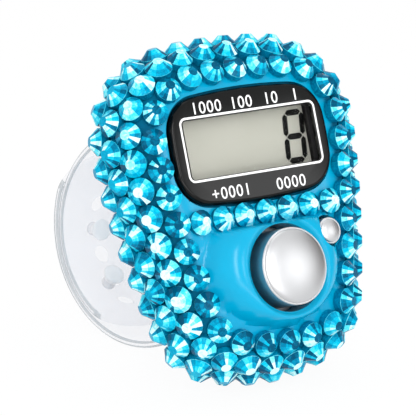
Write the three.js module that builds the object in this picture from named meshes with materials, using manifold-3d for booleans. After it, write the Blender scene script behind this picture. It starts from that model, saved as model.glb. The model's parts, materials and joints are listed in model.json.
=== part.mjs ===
// Digital finger tally counter: a small egg-shaped case set with rows of cut stones, with a
// count button, a reset button, a liquid crystal display and a clear finger band.
// Millimetres. The counter is drawn upright: x to the right, y from the face to the back,
// z up, with its origin inside the case. It then leans back until it stands on its lower
// stones and on its band, with the floor at z = 0 and the object's middle at x = y = 0.
import * as THREE from "three";
import Module from "manifold-3d";
import { mergeVertices } from "three/addons/utils/BufferGeometryUtils.js";

const wasm = await Module();
wasm.setup();

// Clearances
const seatGap = 0.3; // between two pieces that rest on each other
const slideGap = 0.25; // around a piece that moves in a hole
const rootOverlap = 0.4; // a post or boss runs this far into the wall it stands on
const cutMargin = 0.1; // a cut runs this far past the wall it opens
const far = 80; // larger than the case, for cuts that go right through
const roundSides = 32; // of the large round pieces and holes
const smallSides = 16;
const pinSides = 12;

// Case
const faceHalfWidth = 10.8; // flat face, before the round flank starts
const faceTop = 13.5;
const faceBottom = 13.5;
const faceSideRadius = 104;
const faceWidestAt = 16.5; // height of the side arcs' centres, so the sides widen upwards
const faceTopRadius = 60;
const faceBottomRadius = 17.8;
const faceTopCorner = 4.5;
const faceBottomCorner = 1.8;
const flankRadius = 5;
const flankFlat = 0.2; // straight band round the flank's middle
const caseWall = 1.1;
const seamDepth = 0.2; // y of the joint between front shell and rear cover
const padInset = 0.3; // raised flat of the rear cover, inside the flat face's outline
const padEdge = 0.4;
const outlineStep = 3.4; // longest straight piece in the case's outline
const roomStep = 5; // the same inside the case
const flankSteps = 5;
const roomSteps = 3;
const fineStep = 3.2; // the same in bezel, pad and board
const finestRadius = 17; // tighter arcs get as many points as this one

// Display
const displayHeight = 7.36; // z of the display's middle
const viewWidth = 18.2;
const viewHeight = 6.8;
const viewCorner = 0.5;
const bezelHalfWidth = 10.9;
const bezelHalfHeight = 6.6;
const bezelHeight = 7.1; // z of the bezel's middle
const bezelSideRadius = 45;
const bezelEndRadius = 70;
const bezelCorner = 4.3;
const bezelProud = 0.65; // in front of the flat face
const bezelSunk = 0.35; // behind the flat face
const bezelEdge = 0.3;
const bezelLip = 0.35; // thickness of the lip in front of the window
const windowMargin = 0.3; // the window is this much larger than the view on each side
const windowThick = 0.4;
const glassMargin = 0.3; // the same for the liquid crystal glass
const glassThick = 0.6;
const glassRise = 0.3; // glass above the view
const glassLedge = 1.96; // front glass below the view, where the contacts are
const rearGlassDrop = 0.36; // rear glass below the view
const reflectorThick = 0.2;
const boardRoom = 1.1; // between reflector and board
const holderWall = 0.5;
const holderCorner = 1.5;
const zebraHeight = 1.2;
const zebraInset = 0.3;

// Buttons
const countHeight = -7.6; // z of the count button
const countRadius = 4.45;
const countWell = 5.1;
const wellWall = 0.88;
const countProud = 1.18; // button rim in front of the well's rim
const countCrown = 0.75;
const bossHeight = 3.2;
const bossSteps = 5;
const bossCrest = 5.5;
const bossFoot = 7.3; // half the foot's height, its middle lies above the button's
const bossFootRise = 0.9;
const bossFootWiden = 1.22; // the foot is this much wider than high
const resetX = 7.45;
const resetHeight = -4.35;
const resetRadius = 1.5;
const resetWell = 1.75;
const resetProud = 0.5;
const resetCrown = 0.35;
const resetBossHeight = 1.6;
const resetBossRadius = 2.15;
const buttonEdge = 0.15; // between a button's crown and its side
const crownSteps = 4;
const flangeThick = 0.8;
const countFlange = 5.6;
const resetFlange = 2.15;
const buttonWall = 0.8;
const stemRadius = 1.2;
const stemLength = 0.2; // below the flange
const countDomeFoot = 3.2;
const resetDomeFoot = 1.9;
const domeCrown = 0.55; // share of the foot's radius
const domeWall = 0.35;
const domeTopWall = 0.49;

// Board and battery
const boardThick = 1;
const boardGrow = 1.2; // board outline outside the flat face's outline
const chipRadius = 2.4;
const chipHeight = 1.2;
const chipDrop = -9.7; // z of the chip
const cellRadius = 5.8;
const cellThick = 3.1;
const contactThick = 0.25;
const contactRise = 0.7; // room for the base contact under the cell
const contactHalfLength = 3.6;
const contactWidth = 3;
const contactFoot = 0.85;
const contactDrop = 1; // the side contact ends this far before the cell's back
const doorRoom = 0.7; // between the cell and the cover's inner face
const doorRadius = 6.6;
const doorThick = 1.2;
const doorSkirt = 0.5;
const doorSunk = 0.05; // behind the cover's flat back
const doorLugReach = 7.8;
const doorLugThick = 0.55;
const doorLugAngle = 30; // degrees
const doorTurn = 45; // degrees from locked to open
const coinSlot = { length: 9, width: 1.4, depth: 0.6 };

// Screws
const screwHeadRadius = 1.1;
const screwHeadThick = 0.75;
const screwShankRadius = 0.55;
const screwBore = 0.85;
const screwSlot = 0.3;
const postRadius = 1.45;
const sleeveRadius = 1.9;
const boardScrewLength = 2.7;
const caseScrewLength = 5;
const caseScrewSunk = 1.7; // the head's underside behind the flank's back
const caseBoreDepth = 2.6; // in the front shell's posts
const topPostReach = 1.8; // post centres outside the flat face's corners
const bottomPostReach = 1.5;
const bottomPostAngle = -50; // degrees
const boardPosts = [[-8.3, -1.6], [8.3, -0.5], [-7, -10]]; // x and z

// Stones
const stoneRadius = 1.55; // largest, at the girdle
const stoneHeight = 1.6;
const stoneGirdle = 0.5; // height of the widest ring above the stone's back
const stoneBack = 0.7; // share of the radius
const stoneTable = 0.36; // share of the radius
const stoneSides = 8;
const stoneSpace = 0.04;
const glueThick = 0.2;
const glueWidth = 0.7;
const glueGrip = 0.45; // a glue bead runs this far under each of its two stones
const glueRise = 0.25; // middle of a glue bead above the stones' flat backs
const faceRow = { count: 30, tilt: 26, start: 0.92 };
const shoulderRow = { count: 35, tilt: 54, start: 0.03 };
const sideRow = { count: 35, tilt: 80, start: 0.53 };
const rearRow = { count: 35, tilt: 106, start: 0.03 };
const pathStep = 0.3; // longest straight piece of the line the stones follow
const bridgeCount = 7;
const bridgeSpacing = 3.05;
const bridgeStoneRadius = 1.2;
const bridgeOffset = 0.2; // x of the bridge row's middle

// Band
const bandWidth = 11;
const bandThick = 0.8;
const bandDepth = 14.5; // y of the loop's middle
const bandRise = -0.35; // z of the loop's middle
const bandHalfDepth = 18;
const bandHalfHeight = 13.75;
const topSlotHeight = 10.9;
const bottomSlotHeight = -10.1;
const bandBead = 1.2; // the thick end inside the case
const bandMeets = 104; // degrees round the loop where a strap joins it
const loopStep = 12; // degrees
const slotSteps = 10;
const tongueEnd = -62; // degrees round the loop from its back, up is positive
const pegStrapEnd = 52;
const pegAngles = [8.4, -23];
const holeAngles = [24.1, 8.4, -7.3, -23, -38.7];
const pegShank = 0.85;
const pegHead = 1.35;
const pegHeadHeight = 0.7;

const radians = THREE.MathUtils.degToRad;
const faceDepth = -flankRadius;
const innerFace = faceDepth + caseWall;
const bezelFront = faceDepth - bezelProud;
const bezelFloor = faceDepth + bezelSunk + seatGap; // bottom of the recess in the face
const bezelBack = bezelFloor - seatGap;
const windowFront = bezelFront + bezelLip + seatGap;
const glassFront = windowFront + windowThick + seatGap;
const rearGlassFront = glassFront + glassThick + seatGap;
const reflectorFront = rearGlassFront + glassThick + seatGap;
const boardFront = reflectorFront + reflectorThick + boardRoom;
const boardBack = boardFront + boardThick;
const cellFront = boardBack + seatGap + contactRise + seatGap;
const cellBack = cellFront + cellThick;
const innerBack = cellBack + doorRoom;
const backDepth = innerBack + caseWall; // the cover's raised flat
const caseScrewSeat = flankRadius - caseScrewSunk;
const flangeFront = innerFace + seatGap;
const stoneSeat = flankRadius + seatGap;
const bezelBottom = bezelHeight - bezelHalfHeight;
const bridgeHeight = bezelBottom - stoneSpace - seatGap / 2 - bridgeStoneRadius;
const bossTop = bridgeHeight - bridgeStoneRadius - seatGap / 2; // the boss ends under the bridge row

const outline = {
  halfWidth: faceHalfWidth,
  top: faceTop,
  bottom: faceBottom,
  widestAt: faceWidestAt,
  sideRadius: faceSideRadius,
  topRadius: faceTopRadius,
  bottomRadius: faceBottomRadius,
  topCorner: faceTopCorner,
  bottomCorner: faceBottomCorner,
};
const bezelOutline = {
  halfWidth: bezelHalfWidth,
  top: bezelHalfHeight,
  bottom: bezelHalfHeight,
  widestAt: 0,
  sideRadius: bezelSideRadius,
  topRadius: bezelEndRadius,
  bottomRadius: bezelEndRadius,
  topCorner: bezelCorner,
  bottomCorner: bezelCorner,
};

// Solids

function body(geometry) {
  const bare = geometry.clone();
  for (const name of ["normal", "uv"]) bare.deleteAttribute(name);
  const merged = mergeVertices(bare, 1e-4);
  const points = merged.attributes.position;
  const corner = [0, 1, 2].map(() => new THREE.Vector3());
  const triangles = [];
  let volume = 0;
  for (let i = 0; i < merged.index.count; i += 3) {
    const [a, b, c] = [0, 1, 2].map((k) => merged.index.getX(i + k));
    if (a === b || b === c || c === a) continue;
    triangles.push([a, b, c]);
    [a, b, c].forEach((vertex, k) => corner[k].fromBufferAttribute(points, vertex));
    volume += corner[0].dot(corner[1].cross(corner[2]));
  }
  const outward = volume < 0 ? triangles.map(([a, b, c]) => [a, c, b]) : triangles;
  return new wasm.Manifold(new wasm.Mesh({
    numProp: 3,
    vertProperties: Float32Array.from(points.array),
    triVerts: Uint32Array.from(outward.flat()),
  }));
}

function surface(solid) {
  const mesh = solid.getMesh();
  const geometry = new THREE.BufferGeometry();
  geometry.setAttribute("position", new THREE.BufferAttribute(Float32Array.from(mesh.vertProperties), 3));
  geometry.setIndex(new THREE.BufferAttribute(Uint32Array.from(mesh.triVerts), 1));
  geometry.computeVertexNormals();
  return geometry;
}

// A flat piece from an outline in x and z, between two depths, with its edges rounded
function plate(shape, front, back, edge = 0, steps = 2) {
  const geometry = new THREE.ExtrudeGeometry(shape, {
    depth: back - front - 2 * edge,
    bevelEnabled: edge > 0,
    bevelThickness: edge,
    bevelSize: edge,
    bevelOffset: -edge,
    bevelSegments: steps,
    curveSegments: crownSteps,
  });
  geometry.rotateX(Math.PI / 2);
  geometry.translate(0, back - edge, 0);
  return body(geometry);
}

// The case's form: the flat face's outline with a round flank that grows out of it
function roundedSlab(radius, step, bevelSegments) {
  const geometry = new THREE.ExtrudeGeometry(new THREE.Shape(rimPoints(outline, 0, step)), {
    depth: flankFlat,
    bevelThickness: radius - flankFlat / 2,
    bevelSize: radius,
    bevelSegments,
  });
  geometry.rotateX(Math.PI / 2);
  geometry.translate(0, flankFlat / 2, 0);
  return body(geometry);
}

function disc(radius, front, back, x, z, sides) {
  const geometry = new THREE.CylinderGeometry(radius, radius, back - front, sides);
  geometry.translate(x, (front + back) / 2, z);
  return body(geometry);
}

// A turned piece from its profile, as radius and depth pairs
function turned(profile, x, z, sides) {
  const points = profile.map(([radius, depth]) => new THREE.Vector2(radius, depth));
  const geometry = new THREE.LatheGeometry(points, sides);
  geometry.translate(x, 0, z);
  return body(geometry);
}

function block(width, front, back, height, x = 0, z = 0) {
  const geometry = new THREE.BoxGeometry(width, back - front, height);
  geometry.translate(x, (front + back) / 2, z);
  return body(geometry);
}

function roundedRectangle(width, height, corner, z) {
  const shape = new THREE.Shape();
  const right = width / 2 - corner;
  const up = height / 2 - corner;
  shape.absarc(right, z + up, corner, Math.PI / 2, 0, true);
  shape.absarc(right, z - up, corner, 0, -Math.PI / 2, true);
  shape.absarc(-right, z - up, corner, -Math.PI / 2, -Math.PI, true);
  shape.absarc(-right, z + up, corner, Math.PI, Math.PI / 2, true);
  return shape;
}

// Where a corner arc's centre lies, at given distances from two other centres
function meet(a, reachA, b, reachB, side) {
  const apart = a.distanceTo(b);
  const along = (reachA ** 2 - reachB ** 2 + apart ** 2) / (2 * apart);
  const across = Math.sqrt(reachA ** 2 - along ** 2);
  const way = b.clone().sub(a).normalize();
  const foot = a.clone().addScaledVector(way, along);
  const offset = new THREE.Vector2(-way.y, way.x).multiplyScalar(across);
  return Math.sign(offset.y) === side ? foot.add(offset) : foot.sub(offset);
}

function corners(form) {
  const top = new THREE.Vector2(0, form.top - form.topRadius);
  const side = new THREE.Vector2(form.halfWidth - form.sideRadius, form.widestAt);
  const bottom = new THREE.Vector2(0, form.bottomRadius - form.bottom);
  const upper = meet(top, form.topRadius - form.topCorner, side, form.sideRadius - form.topCorner, 1);
  const lower = meet(
    bottom, form.bottomRadius - form.bottomCorner, side, form.sideRadius - form.bottomCorner, -1);
  return { top, side, bottom, upper, lower };
}

// The outline's points, clockwise from the top, from arcs that run into each other
function rimPoints(form, grow, step = fineStep, lift = 0) {
  const { top, side, bottom, upper, lower } = corners(form);
  const heading = (from, to) => Math.atan2(to.y - from.y, to.x - from.x);
  const turns = [
    Math.PI / 2, heading(top, upper), heading(side, upper), heading(side, lower),
    heading(bottom, lower), -Math.PI / 2,
  ];
  const arcs = [
    [top, form.topRadius], [upper, form.topCorner], [side, form.sideRadius],
    [lower, form.bottomCorner], [bottom, form.bottomRadius],
  ];
  const right = [];
  arcs.forEach(([centre, radius], i) => {
    const reach = radius + grow;
    const sweep = turns[i + 1] - turns[i];
    const count = Math.max(1, Math.ceil(Math.abs(sweep) * Math.max(reach, finestRadius) / step));
    for (let k = 0; k < count; k += 1) {
      const angle = turns[i] + sweep * k / count;
      right.push([centre.x + reach * Math.cos(angle), centre.y + reach * Math.sin(angle)]);
    }
  });
  const low = [0, bottom.y - form.bottomRadius - grow];
  const left = right.slice(1).reverse().map(([x, z]) => [-x, z]);
  return [...right, low, ...left].map(([x, z]) => new THREE.Vector2(x, z + lift));
}

const caseForm = roundedSlab(flankRadius, outlineStep, flankSteps);
const caseRoom = roundedSlab(flankRadius - caseWall, roomStep, roomSteps);
const { upper: upperCorner, lower: lowerCorner } = corners(outline);
const casePosts = [];
for (const side of [-1, 1]) {
  const reach = (faceTopCorner + topPostReach) * Math.SQRT1_2;
  casePosts.push([side * (upperCorner.x + reach), upperCorner.y + reach]);
  const low = faceBottomCorner + bottomPostReach;
  casePosts.push([
    side * (lowerCorner.x + low * Math.cos(radians(bottomPostAngle))),
    lowerCorner.y + low * Math.sin(radians(bottomPostAngle)),
  ]);
}

// Stones

function rowStones(row) {
  const tilt = radians(row.tilt);
  const spread = flankRadius * Math.sin(radians(row.spacedAt ?? row.tilt));
  const rim = rimPoints(outline, spread, pathStep);
  const path = new THREE.Path([...rim, rim[0]]);
  const at = (place) => {
    const share = (((row.start + place) / row.count) % 1 + 1) % 1;
    const point = path.getPoint(share);
    const along = path.getTangent(share);
    const away = new THREE.Vector2(-along.y, along.x);
    const core = point.addScaledVector(away, -spread);
    const [rise, level] = [Math.sin(tilt), Math.cos(tilt)];
    const out = new THREE.Vector3(away.x * rise, -level, away.y * rise);
    const across = new THREE.Vector3(away.x * level, rise, away.y * level);
    const base = new THREE.Vector3(core.x, 0, core.y).addScaledVector(out, stoneSeat);
    return { base, out, across, radius: stoneRadius };
  };
  const places = [...Array(row.count).keys()];
  const stones = places.map(at);
  const joints = places.map((i) => ({ ...at(i + 0.5), pair: [stones[i], stones[(i + 1) % row.count]] }));
  return { stones, joints };
}

function bridgeRow() {
  const out = new THREE.Vector3(0, -1, 0);
  const across = new THREE.Vector3(0, 0, 1);
  const at = (place) => {
    const x = bridgeOffset + (place - (bridgeCount - 1) / 2) * bridgeSpacing;
    const base = new THREE.Vector3(x, -stoneSeat, bridgeHeight);
    return { base, out, across, radius: bridgeStoneRadius };
  };
  const stones = [...Array(bridgeCount).keys()].map(at);
  const joints = stones.slice(1).map((stone, i) => ({ ...at(i + 0.5), pair: [stones[i], stone] }));
  return { stones, joints };
}

const rows = {
  face: rowStones(faceRow),
  shoulder: rowStones({ ...shoulderRow, spacedAt: sideRow.tilt }),
  side: rowStones(sideRow),
  rear: rowStones({ ...rearRow, spacedAt: sideRow.tilt }),
  bridge: bridgeRow(),
};

function girdleCentre({ base, out }) {
  return base.clone().addScaledVector(out, stoneGirdle);
}

// Each stone keeps clear of its neighbours and of the reset boss
function sizeStones() {
  const all = Object.values(rows).flatMap((row) => row.stones);
  const centres = all.map(girdleCentre);
  const reset = new THREE.Vector3(resetX, -stoneSeat - stoneGirdle, resetHeight);
  all.forEach((stone, i) => {
    const spans = centres.filter((_, k) => k !== i).map((other) => centres[i].distanceTo(other) / 2);
    spans.push(centres[i].distanceTo(reset) - resetBossRadius);
    stone.radius = Math.min(stone.radius, Math.min(...spans) - stoneSpace);
  });
}
sizeStones();

// Its flats face along the row, where the glue beads run into them
function stoneSolid({ base, out, across, radius }) {
  const profile = [
    [0, 0], [radius * stoneBack, 0], [radius, stoneGirdle], [radius * stoneTable, stoneHeight],
    [0, stoneHeight],
  ];
  const points = profile.map(([reach, height]) => new THREE.Vector2(reach, height));
  const geometry = new THREE.LatheGeometry(points, stoneSides);
  geometry.rotateY(Math.PI / stoneSides);
  const along = out.clone().cross(across);
  geometry.applyMatrix4(new THREE.Matrix4().makeBasis(along, out, across));
  geometry.translate(base.x, base.y, base.z);
  return body(geometry);
}

// A bead of glue between two stones of a row
function glueBead({ base, out, across, pair: [a, b] }) {
  const open = a.base.distanceTo(b.base) - stoneBack * (a.radius + b.radius);
  const geometry = new THREE.BoxGeometry(open + 2 * glueGrip, glueThick, glueWidth);
  geometry.applyMatrix4(new THREE.Matrix4().makeBasis(out.clone().cross(across), out, across));
  const middle = base.clone().addScaledVector(out, glueRise);
  geometry.translate(middle.x, middle.y, middle.z);
  return body(geometry);
}

function stoneRow({ stones, joints }) {
  return [...stones.map(stoneSolid), ...joints.map(glueBead)].reduce((row, piece) => row.add(piece));
}

// Case pieces

function halfSpace(front, back) {
  return block(far, front, back, far);
}

// Raised ground round the count button: a round slope from a wide foot to a round crest
function countBoss(shrink) {
  const root = innerFace + rootOverlap;
  const profile = [[0, root], [bossFoot - shrink, root]];
  for (let i = 0; i <= bossSteps; i += 1) {
    const angle = Math.PI / 2 * i / bossSteps;
    const radius = bossCrest + (bossFoot - bossCrest) * Math.cos(angle) - shrink;
    profile.push([radius, faceDepth - bossHeight * Math.sin(angle) + shrink]);
  }
  profile.push([0, faceDepth - bossHeight + shrink]);
  const geometry = new THREE.LatheGeometry(profile.map(([x, y]) => new THREE.Vector2(x, y)), roundSides);
  const points = geometry.attributes.position;
  for (let i = 0; i < points.count; i += 1) {
    const rise = Math.min(Math.max((faceDepth + shrink - points.getY(i)) / bossHeight, 0), 1);
    const spread = Math.sqrt(1 - rise ** 2);
    points.setX(i, points.getX(i) * (1 + (bossFootWiden - 1) * spread));
    points.setZ(i, points.getZ(i) + bossFootRise * spread + countHeight);
  }
  const above = block(far, -far, far, far, 0, bossTop - shrink + far / 2);
  return body(geometry).subtract(above);
}

function frontShell() {
  const resetTop = faceDepth - resetBossHeight;
  const wellRing = disc(countWell + wellWall, -far, far, 0, countHeight, roundSides);
  const pocket = countBoss(caseWall).subtract(wellRing);
  let shell = caseForm
    .subtract(halfSpace(seamDepth, far))
    .add(countBoss(0))
    .add(disc(resetBossRadius, resetTop, innerFace, resetX, resetHeight, smallSides))
    .subtract(caseRoom)
    .subtract(pocket);
  for (const [x, z] of boardPosts) {
    shell = shell.add(disc(postRadius, innerFace - rootOverlap, boardFront - seatGap, x, z, pinSides));
  }
  for (const [x, z] of casePosts) {
    const post = disc(postRadius, innerFace - rootOverlap, seamDepth, x, z, pinSides);
    shell = shell.add(post.intersect(caseForm));
  }
  for (const [x, z] of boardPosts) {
    shell = shell.subtract(disc(screwBore, boardBack - boardScrewLength - seatGap, far, x, z, pinSides));
  }
  for (const [x, z] of casePosts) {
    shell = shell.subtract(disc(screwBore, seamDepth - caseBoreDepth, far, x, z, pinSides));
  }
  const recess = new THREE.Shape(rimPoints(bezelOutline, slideGap, fineStep, bezelHeight));
  const glassRoom = [glassWidth() + 2 * seatGap, frontGlass.height + 2 * seatGap];
  return shell
    .subtract(plate(recess, -far, bezelFloor))
    .subtract(block(glassRoom[0], -far, innerFace + cutMargin, glassRoom[1], 0, frontGlass.z))
    .subtract(disc(countWell, -far, 0, 0, countHeight, roundSides))
    .subtract(disc(resetWell, -far, 0, resetX, resetHeight, smallSides));
}

function rearCover() {
  const padForm = new THREE.Shape(rimPoints(outline, -padInset));
  const pocketForm = new THREE.Shape(rimPoints(outline, -padInset - caseWall));
  let cover = caseForm
    .subtract(halfSpace(-far, seamDepth))
    .add(plate(padForm, flankRadius - caseWall, backDepth, padEdge))
    .subtract(caseRoom)
    .subtract(plate(pocketForm, seamDepth, innerBack));
  for (const [x, z] of casePosts) {
    const sleeve = disc(sleeveRadius, seamDepth + seatGap, flankRadius, x, z, pinSides);
    cover = cover.add(sleeve.intersect(caseForm));
  }
  for (const [x, z] of casePosts) {
    cover = cover
      .subtract(disc(screwBore, -far, far, x, z, pinSides))
      .subtract(disc(screwHeadRadius + slideGap, caseScrewSeat - seatGap, far, x, z, pinSides));
  }
  const cutFront = innerBack - cutMargin;
  for (const z of [topSlotHeight, bottomSlotHeight]) {
    cover = cover.subtract(block(bandWidth + 2 * seatGap, cutFront, far, bandThick + 2 * seatGap, 0, z));
  }
  return cover
    .subtract(disc(doorRadius + seatGap, cutFront, far, 0, 0, roundSides))
    .subtract(doorLugs(seatGap, cutFront, far, doorTurn));
}

// The door's two lugs, or with a margin the notches that let them through
function doorLugs(margin, front, back, turn) {
  const reach = doorLugReach + margin;
  const ring = disc(reach, front, back, 0, 0, roundSides);
  const halfAngle = radians(doorLugAngle / 2);
  const halfWidth = doorLugReach * Math.sin(halfAngle) + margin;
  const bar = new THREE.BoxGeometry(2 * (reach + cutMargin), back - front, 2 * halfWidth);
  bar.translate(0, (front + back) / 2, 0);
  bar.rotateY(radians(turn));
  return ring.intersect(body(bar));
}

function batteryDoor() {
  const outer = backDepth - doorSunk;
  const inner = outer - doorThick;
  const lugFront = innerBack - seatGap - doorLugThick;
  const core = disc(doorRadius - doorSkirt, lugFront - cutMargin, innerBack - seatGap, 0, 0, roundSides);
  const skirt = disc(doorRadius, lugFront, inner + cutMargin, 0, 0, roundSides);
  const lugs = doorLugs(0, lugFront, innerBack - seatGap, 0);
  return disc(doorRadius, inner, outer, 0, 0, roundSides)
    .add(skirt.add(lugs).subtract(core))
    .subtract(block(coinSlot.length, outer - coinSlot.depth, far, coinSlot.width));
}

// Display pieces

const frontGlass = glassSpan(glassLedge);
const rearGlass = glassSpan(rearGlassDrop);

function glassWidth() {
  return viewWidth + 2 * glassMargin;
}

// Height and middle of a glass that reaches a given way below the view
function glassSpan(drop) {
  const high = displayHeight + viewHeight / 2 + glassRise;
  const low = displayHeight - viewHeight / 2 - drop;
  return { height: high - low, z: (high + low) / 2 };
}

function displayBezel() {
  const form = new THREE.Shape(rimPoints(bezelOutline, 0, fineStep, bezelHeight));
  const view = roundedRectangle(viewWidth, viewHeight, viewCorner, displayHeight);
  const grow = 2 * (windowMargin + seatGap);
  const rebate = roundedRectangle(viewWidth + grow, viewHeight + grow, viewCorner, displayHeight);
  return plate(form, bezelFront, bezelBack, bezelEdge, 1)
    .subtract(plate(view, -far, far))
    .subtract(plate(rebate, bezelFront + bezelLip, far));
}

function displayWindow() {
  const grow = 2 * windowMargin;
  const shape = roundedRectangle(viewWidth + grow, viewHeight + grow, viewCorner, displayHeight);
  return plate(shape, windowFront, windowFront + windowThick);
}

function glass(span, front, thick) {
  return block(glassWidth(), front, front + thick, span.height, 0, span.z);
}

function displayHolder() {
  const width = glassWidth() + 2 * seatGap;
  const height = frontGlass.height + 2 * seatGap;
  const grow = 2 * holderWall;
  const front = innerFace + seatGap;
  const back = boardFront - seatGap;
  const outer = roundedRectangle(width + grow, height + grow, holderCorner, frontGlass.z);
  return plate(outer, front, back).subtract(block(width, -far, far, height, 0, frontGlass.z));
}

function zebraStrip() {
  const front = glassFront + glassThick + seatGap;
  const low = frontGlass.z - frontGlass.height / 2;
  const width = glassWidth() - 2 * zebraInset;
  return block(width, front, boardFront - seatGap, zebraHeight, 0, low + zebraHeight / 2);
}

// Buttons

function button({ x, z, radius, rim, crown, flange, sides, hollow }) {
  const profile = [[0, rim - crown]];
  for (let i = 1; i <= crownSteps; i += 1) {
    const angle = Math.PI / 2 * i / crownSteps;
    profile.push([(radius - buttonEdge) * Math.sin(angle), rim - crown * Math.cos(angle)]);
  }
  const flangeBack = flangeFront + flangeThick;
  const stemBack = flangeBack + stemLength;
  profile.push([radius, rim + buttonEdge], [radius, flangeFront]);
  profile.push([flange, flangeFront], [flange, flangeBack]);
  if (hollow) {
    const [inner, floor] = [radius - buttonWall, rim + buttonWall];
    profile.push([inner, flangeBack], [inner, floor], [stemRadius, floor]);
  }
  profile.push([stemRadius, flangeBack], [stemRadius, stemBack], [0, stemBack]);
  return turned(profile, x, z, sides);
}

function countButton() {
  return button({
    x: 0,
    z: countHeight,
    radius: countRadius,
    rim: faceDepth - bossHeight - countProud,
    crown: countCrown,
    flange: countFlange,
    sides: roundSides,
    hollow: true,
  });
}

function resetButton() {
  return button({
    x: resetX,
    z: resetHeight,
    radius: resetRadius,
    rim: faceDepth - resetBossHeight - resetProud,
    crown: resetCrown,
    flange: resetFlange,
    sides: smallSides,
    hollow: false,
  });
}

// A rubber dome under a button, hollow behind
function rubberDome(x, z, foot) {
  const front = flangeFront + flangeThick + stemLength + seatGap;
  const back = boardFront - seatGap;
  const crown = foot * domeCrown;
  const ceiling = front + domeTopWall;
  const profile = [
    [0, front], [crown, front], [foot, back], [foot - domeWall, back], [crown - domeWall, ceiling],
    [0, ceiling],
  ];
  return turned(profile, x, z, smallSides);
}

// Board and battery

function circuitBoard() {
  let board = plate(new THREE.Shape(rimPoints(outline, boardGrow)), boardFront, boardBack);
  for (const [x, z] of casePosts) {
    board = board.subtract(disc(postRadius + seatGap, -far, far, x, z, pinSides));
  }
  for (const [x, z] of boardPosts) {
    board = board.subtract(disc(screwBore, -far, far, x, z, pinSides));
  }
  return board;
}

function chip() {
  const front = boardBack + seatGap;
  const profile = [[0, front], [chipRadius, front]];
  for (let i = 1; i <= crownSteps; i += 1) {
    const angle = Math.PI / 2 * i / crownSteps;
    profile.push([chipRadius * Math.cos(angle), front + chipHeight * Math.sin(angle)]);
  }
  return turned(profile, 0, chipDrop, smallSides);
}

function baseContact() {
  const low = boardBack + seatGap + contactThick;
  const high = low + contactRise - contactThick;
  const bow = new THREE.Shape();
  bow.moveTo(-contactHalfLength, -low);
  bow.quadraticCurveTo(0, low - 2 * high, contactHalfLength, -low);
  bow.lineTo(contactHalfLength, -low + contactThick);
  bow.quadraticCurveTo(0, low - 2 * high + contactThick, -contactHalfLength, -low + contactThick);
  const geometry = new THREE.ExtrudeGeometry(bow, { depth: contactWidth, bevelEnabled: false });
  geometry.translate(0, 0, -contactWidth / 2);
  geometry.rotateX(Math.PI);
  return body(geometry);
}

function sideContact() {
  const x = cellRadius + seatGap;
  const front = boardBack + seatGap;
  const upright = block(contactThick, front, cellBack - contactDrop, contactWidth, x + contactThick / 2);
  const foot = block(contactFoot, front, front + contactThick, contactWidth, x + contactFoot / 2);
  return upright.add(foot);
}

// A screw whose head's underside is at the given depth, driven towards the face
function screw(x, z, seat, length) {
  const profile = [
    [0, seat + screwHeadThick], [screwHeadRadius, seat + screwHeadThick], [screwHeadRadius, seat],
    [screwShankRadius, seat], [screwShankRadius, seat - length], [0, seat - length],
  ];
  const slot = block(2 * (screwHeadRadius + cutMargin), seat + screwHeadThick / 2, far, screwSlot, x, z);
  return turned(profile, x, z, pinSides).subtract(slot);
}

// Band

function loopPoint(angle, inset) {
  const turn = radians(angle);
  const y = bandDepth + (bandHalfDepth - inset) * Math.cos(turn);
  return new THREE.Vector2(y, bandRise + (bandHalfHeight - inset) * Math.sin(turn));
}

// A strap's middle line, from its bead in the case, out of its slot and round the loop
function strapLine(side, slotHeight, inset, endAngle) {
  const points = [
    new THREE.Vector2(innerBack - seatGap - bandBead / 2, slotHeight),
    new THREE.Vector2(backDepth + seatGap, slotHeight),
  ];
  const count = Math.ceil(Math.abs(bandMeets - side * endAngle) / loopStep);
  for (let i = 0; i <= count; i += 1) {
    const angle = bandMeets + (side * endAngle - bandMeets) * i / count;
    points.push(loopPoint(side * angle, inset));
  }
  return new THREE.SplineCurve(points).getSpacedPoints(count + slotSteps);
}

function strap(side, slotHeight, inset, endAngle) {
  const line = strapLine(side, slotHeight, inset, endAngle);
  const edges = [1, -1].map((hand) => line.map((point, i) => {
    const before = line[Math.max(i - 1, 0)];
    const after = line[Math.min(i + 1, line.length - 1)];
    const way = after.clone().sub(before).normalize();
    const away = new THREE.Vector2(-way.y, way.x);
    return point.clone().addScaledVector(away, hand * bandThick / 2);
  }));
  const strip = new THREE.Shape([...edges[0], ...edges[1].reverse()]);
  const geometry = new THREE.ExtrudeGeometry(strip, { depth: bandWidth, bevelEnabled: false });
  geometry.translate(0, 0, -bandWidth / 2);
  const turn = new THREE.Matrix4().makeBasis(
    new THREE.Vector3(0, 1, 0), new THREE.Vector3(0, 0, 1), new THREE.Vector3(1, 0, 0));
  geometry.applyMatrix4(turn);
  const beadBack = innerBack - seatGap;
  const bead = block(bandWidth, beadBack - bandBead, beadBack, bandBead, 0, slotHeight);
  return body(geometry).add(bead);
}

// A pin or a hole square to the loop at an angle, between two insets from its outside
function loopPin(angle, radius, outer, inner, sides = pinSides) {
  const from = loopPoint(angle, outer);
  const turn = radians(angle);
  const away = new THREE.Vector3(
    0, Math.cos(turn) / bandHalfDepth, Math.sin(turn) / bandHalfHeight).normalize();
  const geometry = new THREE.CylinderGeometry(radius, radius, inner - outer, sides);
  geometry.translate(0, -(inner - outer) / 2, 0);
  geometry.applyQuaternion(new THREE.Quaternion().setFromUnitVectors(new THREE.Vector3(0, 1, 0), away));
  geometry.translate(0, from.x, from.y);
  return body(geometry);
}

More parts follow.
